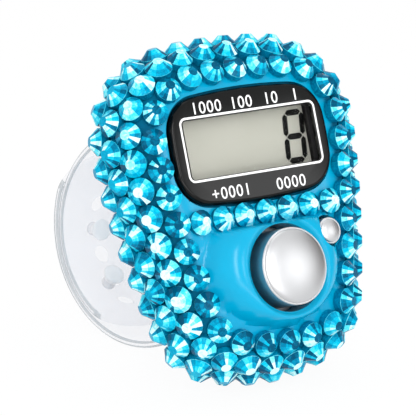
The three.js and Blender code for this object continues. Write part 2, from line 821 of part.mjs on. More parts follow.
// Cuts a strap's free end round
function roundEnd(solid, angle, inset, side) {
  const halfWidth = bandWidth / 2;
  const end = loopPoint(angle, inset);
  const along = end.clone().sub(loopPoint(angle + side, inset)).normalize();
  const deep = 4 * bandThick;
  const sheet = new THREE.BoxGeometry(bandWidth + 2 * cutMargin, deep, bandWidth);
  const round = new THREE.CylinderGeometry(halfWidth, halfWidth, 2 * deep, roundSides);
  round.translate(0, 0, -halfWidth);
  const cutter = surface(body(sheet).subtract(body(round)));
  cutter.applyMatrix4(new THREE.Matrix4().makeBasis(
    new THREE.Vector3(1, 0, 0),
    new THREE.Vector3(0, along.y, -along.x),
    new THREE.Vector3(0, along.x, along.y)));
  cutter.translate(0, end.x, end.y);
  return solid.subtract(body(cutter));
}

const pegLayer = bandThick / 2;
const holeLayer = bandThick + seatGap + bandThick / 2;

function holeStrap() {
  let solid = strap(1, topSlotHeight, holeLayer, tongueEnd);
  for (const angle of holeAngles) {
    solid = solid.subtract(loopPin(angle, pegShank + seatGap, bandThick, 3 * bandThick + seatGap));
  }
  return roundEnd(solid, tongueEnd, holeLayer, 1);
}

function pegStrap() {
  let solid = strap(-1, bottomSlotHeight, pegLayer, pegStrapEnd);
  const headOuter = 2 * bandThick + 2 * seatGap;
  for (const angle of pegAngles) {
    solid = solid
      .add(loopPin(angle, pegShank, bandThick / 2, headOuter + pegHeadHeight / 2))
      .add(loopPin(angle, pegHead, headOuter, headOuter + pegHeadHeight, smallSides));
  }
  return roundEnd(solid, pegStrapEnd, pegLayer, -1);
}

// Finishes

function finish(color, roughness, metalness = 0) {
  return { color, roughness, metalness };
}

const turquoisePlastic = finish(0x00a9d8, 0.22);
const cutStone = finish(0x1fb4dc, 0.08);
const blackPlastic = finish(0x141414, 0.25);
const chromePlate = finish(0xd8d8d8, 0.15, 1);
const clearBand = finish(0xe8ecef, 0.2);
const clearGlass = finish(0xc9cdc2, 0.08);
const whiteSheet = finish(0xdfe1da, 0.5);
const greyRubber = finish(0x8c8f92, 0.7);
const boardLaminate = finish(0x1f6b3a, 0.45);
const steel = finish(0xb4b6b8, 0.3, 1);
const epoxy = finish(0x101010, 0.35);

const counter = new THREE.Group();

function place(name, solid, { color, roughness, metalness }) {
  const material = new THREE.MeshStandardMaterial({ color, roughness, metalness });
  const mesh = new THREE.Mesh(surface(solid), material);
  mesh.name = name;
  counter.add(mesh);
  return mesh;
}

place("front_shell", frontShell(), turquoisePlastic);
place("rear_cover", rearCover(), turquoisePlastic);
place("battery_door", batteryDoor(), turquoisePlastic);
place("display_bezel", displayBezel(), blackPlastic);
place("display_window", displayWindow(), clearGlass);
place("lcd_front_glass", glass(frontGlass, glassFront, glassThick), clearGlass);
place("lcd_rear_glass", glass(rearGlass, rearGlassFront, glassThick), clearGlass);
place("lcd_reflector", glass(rearGlass, reflectorFront, reflectorThick), whiteSheet);
place("lcd_holder", displayHolder(), blackPlastic);
place("zebra_connector", zebraStrip(), greyRubber);
place("count_button", countButton(), chromePlate);
place("reset_button", resetButton(), chromePlate);
place("count_rubber_dome", rubberDome(0, countHeight, countDomeFoot), greyRubber);
place("reset_rubber_dome", rubberDome(resetX, resetHeight, resetDomeFoot), greyRubber);
place("circuit_board", circuitBoard(), boardLaminate);
place("chip_blob", chip(), epoxy);
place("button_cell", disc(cellRadius, cellFront, cellBack, 0, 0, roundSides), steel);
place("cell_base_contact", baseContact(), steel);
place("cell_side_contact", sideContact(), steel);
boardPosts.forEach(([x, z], i) => {
  place(`board_screw_${i + 1}`, screw(x, z, boardBack + seatGap, boardScrewLength), steel);
});
casePosts.forEach(([x, z], i) => {
  place(`case_screw_${i + 1}`, screw(x, z, caseScrewSeat, caseScrewLength), steel);
});

const standing = [
  place("crystal_row_face", stoneRow(rows.face), cutStone),
  place("crystal_row_shoulder", stoneRow(rows.shoulder), cutStone),
  place("crystal_row_side", stoneRow(rows.side), cutStone),
  place("crystal_row_rear", stoneRow(rows.rear), cutStone),
];
place("crystal_row_bridge", stoneRow(rows.bridge), cutStone);
place("band_hole_strap", holeStrap(), clearBand);
const rearFoot = place("band_peg_strap", pegStrap(), clearBand);

// The lean at which the lower stones and the band touch the floor together

function lowest(meshes, lean) {
  let low = Infinity;
  for (const { geometry } of meshes) {
    const points = geometry.attributes.position;
    for (let i = 0; i < points.count; i += 1) {
      low = Math.min(low, points.getZ(i) * Math.cos(lean) - points.getY(i) * Math.sin(lean));
    }
  }
  return low;
}

function restingLean() {
  let [upright, tipped] = [0, Math.PI / 3];
  for (let i = 0; i < 40; i += 1) {
    const lean = (upright + tipped) / 2;
    if (lowest([rearFoot], lean) > lowest(standing, lean)) upright = lean;
    else tipped = lean;
  }
  return (upright + tipped) / 2;
}

counter.rotation.x = -restingLean();
const object = new THREE.Group();
object.add(counter);
object.updateMatrixWorld(true);
const bounds = new THREE.Box3().setFromObject(object, true);
const middle = bounds.getCenter(new THREE.Vector3());
counter.position.set(-middle.x, -middle.y, -bounds.min.z);

export default object;
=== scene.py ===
"""A digital finger tally counter, dressed for its picture.

The case is turquoise gloss plastic set with five rows of foil-backed stones. It holds a framed
liquid crystal display, a large count button and a small reset button, and stands on the
lower stones and on its clear finger band. Shapes are worked out upright in millimetres,
with x to the right, y from the face to the back and z up, and then laid on the leaning case.
"""

import json
import math

import bmesh
import bpy
from mathutils import Matrix, Vector

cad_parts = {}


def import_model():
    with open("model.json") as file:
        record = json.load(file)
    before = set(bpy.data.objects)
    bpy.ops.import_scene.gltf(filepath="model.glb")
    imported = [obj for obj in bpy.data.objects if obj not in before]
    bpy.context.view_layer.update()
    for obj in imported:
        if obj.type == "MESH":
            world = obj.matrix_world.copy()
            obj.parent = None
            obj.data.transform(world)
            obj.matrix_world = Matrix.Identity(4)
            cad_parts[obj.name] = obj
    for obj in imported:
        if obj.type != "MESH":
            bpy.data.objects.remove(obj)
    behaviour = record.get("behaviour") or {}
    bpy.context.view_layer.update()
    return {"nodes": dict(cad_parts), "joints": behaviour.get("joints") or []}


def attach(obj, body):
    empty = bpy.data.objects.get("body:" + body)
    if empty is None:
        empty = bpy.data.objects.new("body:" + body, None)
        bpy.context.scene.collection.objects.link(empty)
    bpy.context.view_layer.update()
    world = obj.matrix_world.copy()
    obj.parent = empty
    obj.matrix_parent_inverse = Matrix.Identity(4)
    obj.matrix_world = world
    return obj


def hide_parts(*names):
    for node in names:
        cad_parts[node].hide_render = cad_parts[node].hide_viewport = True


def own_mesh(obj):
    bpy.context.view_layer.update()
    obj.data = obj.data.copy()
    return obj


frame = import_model()

# The case. All sizes are in millimetres, and depths count from the middle of the flank.
FLANK_RADIUS = 5.0
FLANK_STEPS = 18
WALL = 1.1
SEAM = 0.2
ROOM_PAST_SEAM = 3
FACE_RINGS = 130  # fine enough for the boss round the buttons
FACE_HUB = -5.0  # the height on the face that its rings close in on
SHELL_FLOOR = -3.5
RECESS_GAP = 0.25
RECESS_FLOOR = -4.35
OPENING_HALF_WIDTH = 9.7
OPENING_HEIGHTS = (1.7, 11.4)
STONES_FROM = -4.86  # depths between which the stones sit and the skin gets painted shade
STONES_TO = 2.6
FAR = 20.0  # past the case, for cutting tools

# The case's back, with its raised pad, the door's opening, the band's slots and the screws
BACK = 6.0
PAD_INSET = 0.3
PAD_EDGE = 0.4
COVER_GAP = 0.06
DOOR_OPENING = 6.9
DOOR_FLOOR = 4.4
LUG_REACH = 8.1
LUG_HALF_WIDTH = 2.32
LUG_TURN = 45.0  # degrees
SLOT_HALF_WIDTH = 5.8
SLOT_HALF_HEIGHT = 0.7
SLOT_FLOOR = 3.9
SCREW_BORE = 1.35
SCREW_FLOOR = 3.0

# Outlines of arcs that run into each other
FACE = {
    "half_width": 10.8,
    "top": 13.5,
    "bottom": 13.5,
    "widest_at": 16.5,
    "side_radius": 104.0,
    "top_radius": 60.0,
    "bottom_radius": 17.8,
    "top_corner": 4.5,
    "bottom_corner": 1.8,
}
BEZEL = {
    "half_width": 10.9,
    "top": 6.6,
    "bottom": 6.6,
    "widest_at": 0.0,
    "side_radius": 45.0,
    "top_radius": 70.0,
    "bottom_radius": 70.0,
    "top_corner": 4.3,
    "bottom_corner": 4.3,
}

# Display
BEZEL_MIDDLE = 7.1
BEZEL_FRONT = -5.65
BEZEL_BACK = -4.65
BEZEL_EDGE = 0.5
VIEW_MIDDLE = 7.36
VIEW_SIZE = (18.2, 6.8)
VIEW_CORNER = 0.5
REBATE_BORDER = 1.2  # for the window, behind the view
REBATE_FLOOR = -5.3
PRINT_DEPTH = BEZEL_FRONT - 0.02
LINE_EDGES = ((18.62, 6.98, 0.6), (19.12, 7.48, 0.85))  # width, height and corner
FIGURE_HEIGHT = 1.4
CAPITAL_SHARE = 0.72  # a figure's height as a share of the size of its type
MARK_HEIGHT = 12.02
PLACE_MARKS = (("1000", -5.5), ("100", -0.6), ("10", 3.6), ("1", 7.1))
LABEL_HEIGHT = 2.05
BUTTON_LABELS = (("+0001", -4.2), ("0000", 4.3))
DIGIT_MIDDLE = 7.65
DIGIT_WIDTH = 2.4
DIGIT_HEIGHT = 5.6
DIGIT_LOW = 4.46
DIGIT_DEPTH = -3.46
DIGIT_THICK = 0.03
STROKE = 0.7
STROKE_GAP = 0.09
SLANT = math.tan(math.radians(5.75))

# Buttons
COUNT_MIDDLE = (0.0, -7.6)
COUNT_RADIUS = 4.45
COUNT_RIM = -9.38
COUNT_CROWN = 0.75
COUNT_FLANGE = 5.6
COUNT_WELL = 5.1
WELL_LIP = 0.5
WELL_LIP_REACH = 5.75
WELL_LIP_WIDTH = 0.75
# The boss is a hill of oval contours, from 0 at its crest to BOSS_FOOT where it meets the face.
# Its contours grow, widen and shift up on the way, and BOSS_BLEND softens its foot.
BOSS_HEIGHT = 3.2
BOSS_CREST = 5.5
BOSS_GROWTH = 1.8
BOSS_WIDENING = 0.22
BOSS_RISE = 0.9
BOSS_FOOT = 1.09
BOSS_POWER = 2.3
BOSS_BLEND = 0.01
BOSS_END = -2.05
BOSS_END_WIDTH = 0.45
RESET_MIDDLE = (7.45, -4.35)
RESET_RADIUS = 1.55
RESET_RIM = -7.1
RESET_CROWN = 0.35
RESET_FLANGE = 2.15
RESET_WELL = 1.92
RESET_BOSS = 2.45
RESET_BOSS_WIDTH = 0.6
RESET_BOSS_HEIGHT = 1.6
CAP_LIP = 0.22
FLANGE_FRONT = -3.6
FLANGE_THICK = 0.8
DOME_FOOT = -1.5
DOME_TOP = -2.3

# Stones
STONE_SEAT = 5.3
STONE_RADIUS = 1.64
STONE_RISE = 0.98
STONE_GIRDLE = 0.58
STONE_LIP = 0.06
STONE_SUNK = 0.3
STONE_BACK = 0.95
STONE_MIDDLE = 0.66
STONE_MIDDLE_RISE = 0.5
STONE_TABLE = 0.36
STONE_OVERLAP = 0.05
STONE_SIDES = 16
RESET_ROOM = 2.24  # kept clear round the reset button
BRIDGE_COUNT = 7
BRIDGE_STEP = 3.05
BRIDGE_MIDDLE = 0.2
BRIDGE_HEIGHT = -0.89
BRIDGE_SUNK = 0.25
BRIDGE_RADIUS = 1.47

# Band
BAND_WIDTH = 11.0
BAND_THICK = 0.8
BAND_MIDDLE = (14.5, -0.35)
BAND_REACH = (18.0, 13.75)
BAND_EDGE = 0.26
BAND_STEP = 0.7
BAND_MEETS = 104  # degrees round the loop from its back, as are the other band angles
SLOT_HEIGHTS = (10.9, -10.1)
SLOT_EXIT = 6.3
EXIT_EASE = 2.0
INNER_INSET = 1.5
OUTER_INSET = 0.4
INNER_END = -62
OUTER_END = 52
HOLE_ANGLES = (24.1, 8.4, -7.3, -23, -38.7)
HOLE_RADIUS = 1.15
PEG_ANGLES = (8.4, -23)
PEG_SHANK = 0.85
PEG_HEAD = 1.35
PEG_REACH = 2.1

# The counter leans: its back's direction comes from the door's hinge
hinge = next(joint for joint in frame["joints"] if joint["name"] == "door_turn")
TO_BACK = Vector(hinge["axis"])
LEAN = math.atan2(-TO_BACK.z, TO_BACK.y)
DOOR_FACE = 5.95
ORIGIN = Vector(hinge["pos_m"]) - TO_BACK * DOOR_FACE / 1000
PLACE = Matrix.Translation(ORIGIN) @ Matrix.Rotation(-LEAN, 4, "X") @ Matrix.Scale(0.001, 4)


# Finishes


def linear(code):
    """An sRGB hex colour as linear red, green, blue and alpha."""
    parts = [int(code[i : i + 2], 16) / 255 for i in (1, 3, 5)]
    return [c / 12.92 if c <= 0.04045 else ((c + 0.055) / 1.055) ** 2.4 for c in parts] + [1.0]


def node(tree, kind, inputs=None, **settings):
    """Adds a node, with settings, input values and links from other sockets."""
    made = tree.nodes.new(kind)
    for name, value in settings.items():
        setattr(made, name, value)
    for name, value in (inputs or {}).items():
        if isinstance(value, bpy.types.NodeSocket):
            tree.links.new(value, made.inputs[name])
        else:
            made.inputs[name].default_value = value
    return made


def material(name):
    """An empty node material, with its tree and a position in millimetres."""
    made = bpy.data.materials.new(name)
    made.use_nodes = True
    tree = made.node_tree
    tree.nodes.clear()
    place = node(tree, "ShaderNodeTexCoord")
    size = node(
        tree,
        "ShaderNodeMapping",
        {"Vector": place.outputs["Object"], "Scale": (1000, 1000, 1000)},
    )
    return made, tree, size.outputs["Vector"]


def output(tree, shader):
    node(tree, "ShaderNodeOutputMaterial", {"Surface": shader})


def mixed(tree, share, first, second):
    """Two shaders mixed by a share of the second."""
    mix = node(tree, "ShaderNodeMixShader", {"Fac": share})
    tree.links.new(first.outputs[0], mix.inputs[1])
    tree.links.new(second.outputs[0], mix.inputs[2])
    return mix


def principled(tree, inputs):
    return node(tree, "ShaderNodeBsdfPrincipled", inputs)


def mottled(tree, place, light, dark, size_mm):
    """Two close shades in soft patches of a given size."""
    patches = node(
        tree, "ShaderNodeTexNoise", {"Vector": place, "Scale": 1 / size_mm, "Detail": 3.0}
    )
    shades = node(tree, "ShaderNodeValToRGB", {"Fac": patches.outputs["Fac"]})
    shades.color_ramp.elements[0].position = 0.3
    shades.color_ramp.elements[0].color = linear(dark)
    shades.color_ramp.elements[1].position = 0.7
    shades.color_ramp.elements[1].color = linear(light)
    return shades.outputs["Color"]


def ripple(tree, place, size_mm, height_mm):
    """A bump of a given grain and height."""
    grain = node(
        tree, "ShaderNodeTexNoise", {"Vector": place, "Scale": 1 / size_mm, "Detail": 2.0}
    )
    bump = node(
        tree,
        "ShaderNodeBump",
        {"Height": grain.outputs["Fac"], "Distance": height_mm / 1000, "Strength": 1.0},
    )
    return bump.outputs["Normal"]


def surface(name, light, dark, patch_mm, grain_mm, height_mm, **shader):
    """A solid finish with mottled colour and a fine bump."""
    made, tree, place = material(name)
    inputs = {
        "Base Color": mottled(tree, place, light, dark, patch_mm),
        "Normal": ripple(tree, place, grain_mm, height_mm),
    }
    inputs.update({key.replace("_", " "): value for key, value in shader.items()})
    output(tree, principled(tree, inputs).outputs["BSDF"])
    return made


def clear(name, tint, gloss, shine):
    """A clear sheet: see-through, with a faint clean reflection that grows towards its edges."""
    made, tree, place = material(name)
    see = node(
        tree, "ShaderNodeBsdfTransparent", {"Color": mottled(tree, place, tint, tint, 3.0)}
    )
    mirror = node(
        tree, "ShaderNodeBsdfGlossy",
        {"Roughness": gloss, "Normal": ripple(tree, place, 4.0, 0.004)},
    )
    slant = node(tree, "ShaderNodeFresnel", {"IOR": 1.45})
    share = node(
        tree, "ShaderNodeMath", {0: slant.outputs["Fac"], 1: shine}, operation="MULTIPLY"
    )
    output(tree, mixed(tree, share.outputs["Value"], see, mirror).outputs["Shader"])
    return made


def stones_finish():
    """Cut acrylic on coloured foil, with painted reflections: each facet's colour is its own
    painted patch of light or dark.
    """
    made, tree, place = material("foil_backed_stone")
    painted_facet_light = node(tree, "ShaderNodeAttribute", attribute_name="painted_facet_light")
    streaks = node(
        tree, "ShaderNodeTexNoise",
        {"Vector": place, "Scale": 1.6, "Detail": 2.0, "Distortion": 1.5},
    )
    spread = node(
        tree, "ShaderNodeMath", {0: streaks.outputs["Fac"], 1: 0.5}, operation="SUBTRACT"
    )
    varied = node(
        tree, "ShaderNodeMath", {0: spread.outputs["Value"], 1: 0.5, 2: painted_facet_light.outputs["Fac"]},
        operation="MULTIPLY_ADD",
    )
    # The ramp turns each facet's painted light into colour, from painted shade to near-white
    # painted highlight
    ramp = node(tree, "ShaderNodeValToRGB", {"Fac": varied.outputs["Value"]})
    stops = [
        (0.0, "#004C6A"),
        (0.2, "#00759A"),
        (0.42, "#009EC4"),
        (0.6, "#06BEDC"),
        (0.78, "#58DCEC"),
        (0.92, "#A8EEF2"),
        (1.0, "#D6F8F8"),
    ]
    ramp.color_ramp.elements[0].position = stops[0][0]
    ramp.color_ramp.elements[0].color = linear(stops[0][1])
    ramp.color_ramp.elements[1].position = stops[-1][0]
    ramp.color_ramp.elements[1].color = linear(stops[-1][1])
    for position, code in stops[1:-1]:
        ramp.color_ramp.elements.new(position).color = linear(code)
    shader = principled(
        tree,
        {
            "Base Color": ramp.outputs["Color"],
            "Roughness": 0.12,
            "IOR": 1.5,
            "Specular IOR Level": 0.06,
        },
    )
    output(tree, shader.outputs["BSDF"])
    return made


def case_finish():
    """Gloss ABS from a polished mould, with a darker, duller copy of it as painted shade among the
    stones.
    """
    made, tree, place = material("gloss_turquoise_abs")
    bare = principled(
        tree,
        {
            "Base Color": mottled(tree, place, "#00A2CA", "#009BC3", 7.0),
            "Roughness": 0.2,
            "IOR": 1.5,
            "Specular IOR Level": 0.24,
            "Normal": ripple(tree, place, 5.0, 0.008),
        },
    )
    # Painted shade between the stones: darker colour, rougher and with less shine
    painted_shade = principled(
        tree,
        {
            "Base Color": mottled(tree, place, "#007498", "#006285", 1.5),
            "Roughness": 0.6,
            "IOR": 1.5,
            "Specular IOR Level": 0.05,
            "Normal": ripple(tree, place, 0.5, 0.02),
        },
    )
    stone_shade = node(tree, "ShaderNodeAttribute", attribute_name="stone_shade")
    output(tree, mixed(tree, stone_shade.outputs["Fac"], bare, painted_shade).outputs["Shader"])
    return made


def band_finish(name, milkiness):
    """Clear soft vinyl, more or less milky, with painted grey shade along its rounded edges."""
    made, tree, place = material(name)
    see = node(tree, "ShaderNodeBsdfTransparent", {"Color": linear("#FCFCFD")})
    body = principled(
        tree,
        {
            "Base Color": mottled(tree, place, "#FFFFFF", "#FCFCFC", 6.0),
            "Roughness": 0.14,
            "IOR": 1.45,
            "Normal": ripple(tree, place, 2.5, 0.006),
        },
    )
    # Painted shade for the rounded edges, in place of dark reflections inside the vinyl
    edge = principled(
        tree,
        {
            "Base Color": mottled(tree, place, "#BCC0C3", "#AEB3B7", 3.0),
            "Roughness": 0.2,
            "IOR": 1.45,
        },
    )
    shaded_rim = node(tree, "ShaderNodeAttribute", attribute_name="shaded_rim")
    solid = mixed(tree, shaded_rim.outputs["Fac"], body, edge)
    milky = node(
        tree, "ShaderNodeMath", {0: shaded_rim.outputs["Fac"], 1: 0.72, 2: milkiness},
        operation="MULTIPLY_ADD",
    )
    output(tree, mixed(tree, milky.outputs["Value"], see, solid).outputs["Shader"])
    return made


# Gloss turquoise ABS, with painted shade between the stones
abs_turquoise = case_finish()
# Gloss black ABS: deep black with a slightly softer shine
abs_black = surface(
    "gloss_black_abs", "#090A0A", "#050606", 6.0, 4.0, 0.003, Roughness=0.16, IOR=1.5,
    Specular_IOR_Level=0.2,
)
# Satin black moulded plastic inside the case
black_holder = surface(
    "satin_black_plastic", "#232324", "#1B1B1C", 3.0, 0.3, 0.01, Roughness=0.55, IOR=1.5,
)
# Satin chrome plating over moulded plastic: a blurred mirror
chrome = surface(
    "satin_chrome_plate", "#CDCED0", "#C8C9CB", 4.0, 2.0, 0.001, Metallic=1.0, Roughness=0.36,
)
# Screen-printed white ink: flat and even
white_ink = surface(
    "white_screen_print", "#F7F7F7", "#EFEFEF", 1.5, 0.3, 0.004, Roughness=0.5,
)
# Dark liquid crystal segments
segment_ink = surface(
    "liquid_crystal_segment", "#0A0B0B", "#050606", 1.0, 0.5, 0.001, Roughness=0.6,
    Specular_IOR_Level=0.1,
)
# Polariser film bonded to the display glass: pale grey-green with a fine pearly grain
polariser = surface(
    "display_polariser", "#C1C1B9", "#BABBB2", 5.0, 0.2, 0.002, Roughness=0.5,
    Specular_IOR_Level=0.1,
)
# Reflector film behind the display
reflector = surface(
    "reflector_film", "#C6C9BF", "#BCC0B5", 5.0, 0.2, 0.006, Roughness=0.6,
)
# Moulded silicone rubber: soft dull grey
silicone = surface(
    "silicone_rubber", "#9A9C9E", "#8C8E90", 2.0, 0.25, 0.01, Roughness=0.75,
)
# Glass-epoxy laminate under green solder mask
laminate = surface(
    "green_solder_mask", "#1F7A43", "#175F34", 1.2, 0.4, 0.02, Roughness=0.4,
)
# Poured black epoxy over the chip
epoxy = surface(
    "black_epoxy", "#151515", "#0C0C0C", 1.0, 0.8, 0.03, Roughness=0.35,
)
# Nickel-plated steel, rolled and pressed
nickel = surface(
    "nickel_plated_steel", "#C9C7C2", "#B9B7B2", 1.5, 0.15, 0.004, Metallic=1.0, Roughness=0.3,
)
# Turned steel screws with a bright zinc finish
zinc = surface(
    "zinc_plated_steel", "#C4C6C9", "#AEB0B4", 0.6, 0.1, 0.004, Metallic=1.0, Roughness=0.38,
)
# Clear acrylic sheet of the window
window_clear = clear("clear_acrylic", "#FEFEFE", 0.06, 0.025)
# Thin glass over the liquid crystal
display_clear = clear("display_glass", "#FEFEFD", 0.06, 0.01)
# Cut acrylic stones with a turquoise foil behind them
foiled_stone = stones_finish()
# Clear soft vinyl of the band
vinyl = band_finish("clear_vinyl", 0.09)
# The same vinyl in the thicker pegs, where it looks whiter
thick_vinyl = band_finish("thick_clear_vinyl", 0.55)


# Making pieces


def smoothstep(t):
    t = min(max(t, 0.0), 1.0)
    return t * t * (3 - 2 * t)


def add(name, data):
    """A new object in the scene."""
    made = bpy.data.objects.new(name, data)
    bpy.context.scene.collection.objects.link(made)
    return made


def finish_piece(name, mesh_data, finish, nodes=(), body="case", sharp=32):
    """Lays a piece on the leaning case, gives it its finish and hangs it on its body."""
    mesh_data.transform(PLACE)
    mesh_data.name = name
    piece = add(name, mesh_data)
    mesh_data.materials.clear()
    mesh_data.materials.append(finish)
    mesh_data.shade_smooth()
    mesh_data.set_sharp_from_angle(angle=math.radians(sharp))
    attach(piece, body)
    if nodes:
        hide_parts(*nodes)
    return piece


def bare_mesh(shape):
    """Mesh data from a bmesh as it is."""
    mesh_data = bpy.data.meshes.new("piece")
    shape.to_mesh(mesh_data)
    shape.free()
    return mesh_data


def to_mesh(shape):
    """Mesh data from a bmesh, with its seams closed and its faces turned outwards."""
    bmesh.ops.remove_doubles(shape, verts=shape.verts, dist=1e-5)
    bmesh.ops.recalc_face_normals(shape, faces=shape.faces)
    return bare_mesh(shape)


def cut(mesh_data, tools, operation="DIFFERENCE"):
    """Cuts or joins mesh data with each tool in turn."""
    target = add("target", mesh_data)
    helpers = []
    for tool in tools:
        helper = add("tool", tool)
        helpers.append(helper)
        step = target.modifiers.new("cut", "BOOLEAN")
        step.object = helper
        step.operation = operation
        step.solver = "EXACT"
    graph = bpy.context.evaluated_depsgraph_get()
    result = bpy.data.meshes.new_from_object(target.evaluated_get(graph))
    for helper in helpers + [target]:
        bpy.data.objects.remove(helper)
    return result


def arc_centres(form):
    """Middles of an outline's right-hand arcs: top, side, bottom and the two corners."""
    top = Vector((0, form["top"] - form["top_radius"]))
    side = Vector((form["half_width"] - form["side_radius"], form["widest_at"]))
    bottom = Vector((0, form["bottom_radius"] - form["bottom"]))

    def meet(a, reach_a, b, reach_b, side_sign):
        apart = (b - a).length
        along = (reach_a**2 - reach_b**2 + apart**2) / (2 * apart)
        across = math.sqrt(reach_a**2 - along**2)
        way = (b - a) / apart
        offset = Vector((-way.y, way.x)) * across
        if offset.y * side_sign < 0:
            offset = -offset
        return a + way * along + offset

    top_reach = form["top_radius"] - form["top_corner"]
    side_top = form["side_radius"] - form["top_corner"]
    side_low = form["side_radius"] - form["bottom_corner"]
    low_reach = form["bottom_radius"] - form["bottom_corner"]
    upper = meet(top, top_reach, side, side_top, 1)
    lower = meet(bottom, low_reach, side, side_low, -1)
    return top, side, bottom, upper, lower


def rim(form, grow, steps=(16, 14, 34, 10, 20), middle=0.0):
    """Points of an outline of arcs that run into each other, clockwise from the top."""
    top, side, bottom, upper, lower = arc_centres(form)

    def heading(a, b):
        return math.atan2(b.y - a.y, b.x - a.x)

    turns = [
        math.pi / 2,
        heading(top, upper),
        heading(side, upper),
        heading(side, lower),
        heading(bottom, lower),
        -math.pi / 2,
    ]
    arcs = [
        (top, form["top_radius"]),
        (upper, form["top_corner"]),
        (side, form["side_radius"]),
        (lower, form["bottom_corner"]),
        (bottom, form["bottom_radius"]),
    ]
    right = []
    for i, (centre, radius) in enumerate(arcs):
        for k in range(steps[i]):
            angle = turns[i] + (turns[i + 1] - turns[i]) * k / steps[i]
            reach = radius + grow
            right.append((centre.x + reach * math.cos(angle), centre.y + reach * math.sin(angle)))
    low = (0.0, -form["bottom"] - grow)
    left = [(-x, z) for x, z in reversed(right[1:])]
    return [(x, z + middle) for x, z in right + [low] + left]


def loft(rings, close_start=True, close_end=True):
    """Pulls one loop of edges through a list of rings with equal numbers of points."""
    shape = bmesh.new()
    station = shape.verts.layers.int.new("station")
    first = []
    for i, point in enumerate(rings[0]):
        vert = shape.verts.new(point)
        vert[station] = i
        first.append(vert)
    edges = [shape.edges.new((first[i - 1], first[i])) for i in range(len(first))]
    if close_start:
        bmesh.ops.contextual_create(shape, geom=edges)
    for ring in rings[1:]:
        grown = bmesh.ops.extrude_edge_only(shape, edges=edges)["geom"]
        for part in grown:
            if isinstance(part, bmesh.types.BMVert):
                part.co = ring[part[station]]
        edges = [
            part for part in grown
            if isinstance(part, bmesh.types.BMEdge) and len(part.link_faces) == 1
        ]
    if close_end:
        bmesh.ops.contextual_create(shape, geom=edges)
    return shape


def prism(points, front, back):
    """A straight-sided block from an outline in x and z."""
    rings = [[(x, depth, z) for x, z in points] for depth in (front, back)]
    return to_mesh(loft(rings))


def drum(radius, front, back, x, z, sides=96):
    """A round block that runs from front to back."""
    shape = bmesh.new()
    bmesh.ops.create_cone(
        shape, cap_ends=True, segments=sides, radius1=radius, radius2=radius, depth=back - front
    )
    bmesh.ops.rotate(shape, verts=shape.verts, matrix=Matrix.Rotation(math.pi / 2, 3, "X"))
    bmesh.ops.translate(shape, verts=shape.verts, vec=(x, (front + back) / 2, z))
    return to_mesh(shape)


def box(low, high):
    """A block between two opposite corners."""
    shape = bmesh.new()
    bmesh.ops.create_cube(shape, size=1)
    size = [b - a for a, b in zip(low, high)]
    bmesh.ops.scale(shape, verts=shape.verts, vec=size)
    bmesh.ops.translate(shape, verts=shape.verts, vec=[(a + b) / 2 for a, b in zip(low, high)])
    return to_mesh(shape)


def turned(profile, x, z, steps=96):
    """Spins a profile of radius and depth pairs about an axis from front to back."""
    shape = bmesh.new()
    verts = [shape.verts.new((radius, depth, 0)) for radius, depth in profile]
    edges = [shape.edges.new(pair) for pair in zip(verts, verts[1:])]
    bmesh.ops.spin(
        shape, geom=verts + edges, cent=(0, 0, 0), axis=(0, 1, 0), angle=2 * math.pi, steps=steps,
        use_merge=True,
    )
    bmesh.ops.translate(shape, verts=shape.verts, vec=(x, 0, z))
    return to_mesh(shape)


def rounded_rectangle(width, height, corner, middle, steps=8):
    """An outline centred on x = 0 at a given height."""
    points = []
    for sx, sz, start in ((1, 1, 90), (1, -1, 0), (-1, -1, -90), (-1, 1, -180)):
        for k in range(steps + 1):
            angle = math.radians(start - 90 * k / steps)
            x = sx * (width / 2 - corner) + corner * math.cos(angle)
            z = middle + sz * (height / 2 - corner) + corner * math.sin(angle)
            points.append((x, z))
    return points


# Case


def boss_rise(x, z):
    """How far the face stands out at a place round the two buttons."""
    dx, dz = x - COUNT_MIDDLE[0], z - COUNT_MIDDLE[1]
    low, high = 0.0, 1.4
    for _ in range(18):
        c = (low + high) / 2
        reach = BOSS_CREST + BOSS_GROWTH * c
        wide = reach * (1 + BOSS_WIDENING * c)
        inside = (dx / wide) ** 2 + ((dz - BOSS_RISE * c) / reach) ** 2 <= 1
        low, high = (low, c) if inside else (c, high)
    c = (low + high) / 2
    left = 1 - (c / BOSS_FOOT) ** BOSS_POWER
    hill = BOSS_HEIGHT / 2 * (left + math.sqrt(left * left + BOSS_BLEND))
    apart = math.hypot(dx, dz)
    lip = WELL_LIP * smoothstep((WELL_LIP_REACH - apart) / WELL_LIP_WIDTH)
    hill = (hill - lip) * smoothstep((BOSS_END - z) / BOSS_END_WIDTH)
    away = math.hypot(x - RESET_MIDDLE[0], z - RESET_MIDDLE[1])
    small = RESET_BOSS_HEIGHT * smoothstep((RESET_BOSS - away) / RESET_BOSS_WIDTH)
    return max(hill, small)


def skin(radius, seam, face_side, rise=None, inner_rings=6):
    """The round flank from the seam to a flat face, and that face in to its middle."""
    rings = []
    start = math.acos(seam / radius * face_side)
    for k in range(FLANK_STEPS + 1):
        angle = start * (1 - k / FLANK_STEPS)
        points = rim(FACE, radius * math.sin(angle))
        rings.append([(x, face_side * radius * math.cos(angle), z) for x, z in points])
    edge = rim(FACE, 0)
    for k in range(1, inner_rings):
        share = 1 - k / inner_rings
        rings.append(
            [(x * share, face_side * radius, FACE_HUB + (z - FACE_HUB) * share) for x, z in edge]
        )
    if rise:
        for ring in rings:
            ring[:] = [(x, y - rise(x, z), z) if y < 0 else (x, y, z) for x, y, z in ring]
    return rings


def cover(mesh_data):
    """Marks how far the skin lies among the stones, where it gets painted shade."""
    stone_shade = mesh_data.attributes.new("stone_shade", "FLOAT", "POINT")
    for vert, value in zip(mesh_data.vertices, stone_shade.data):
        rising = smoothstep((vert.co.y - STONES_FROM) / 0.4)
        falling = 1 - smoothstep((vert.co.y - STONES_TO) / 0.5)
        value.value = rising * falling
    return mesh_data


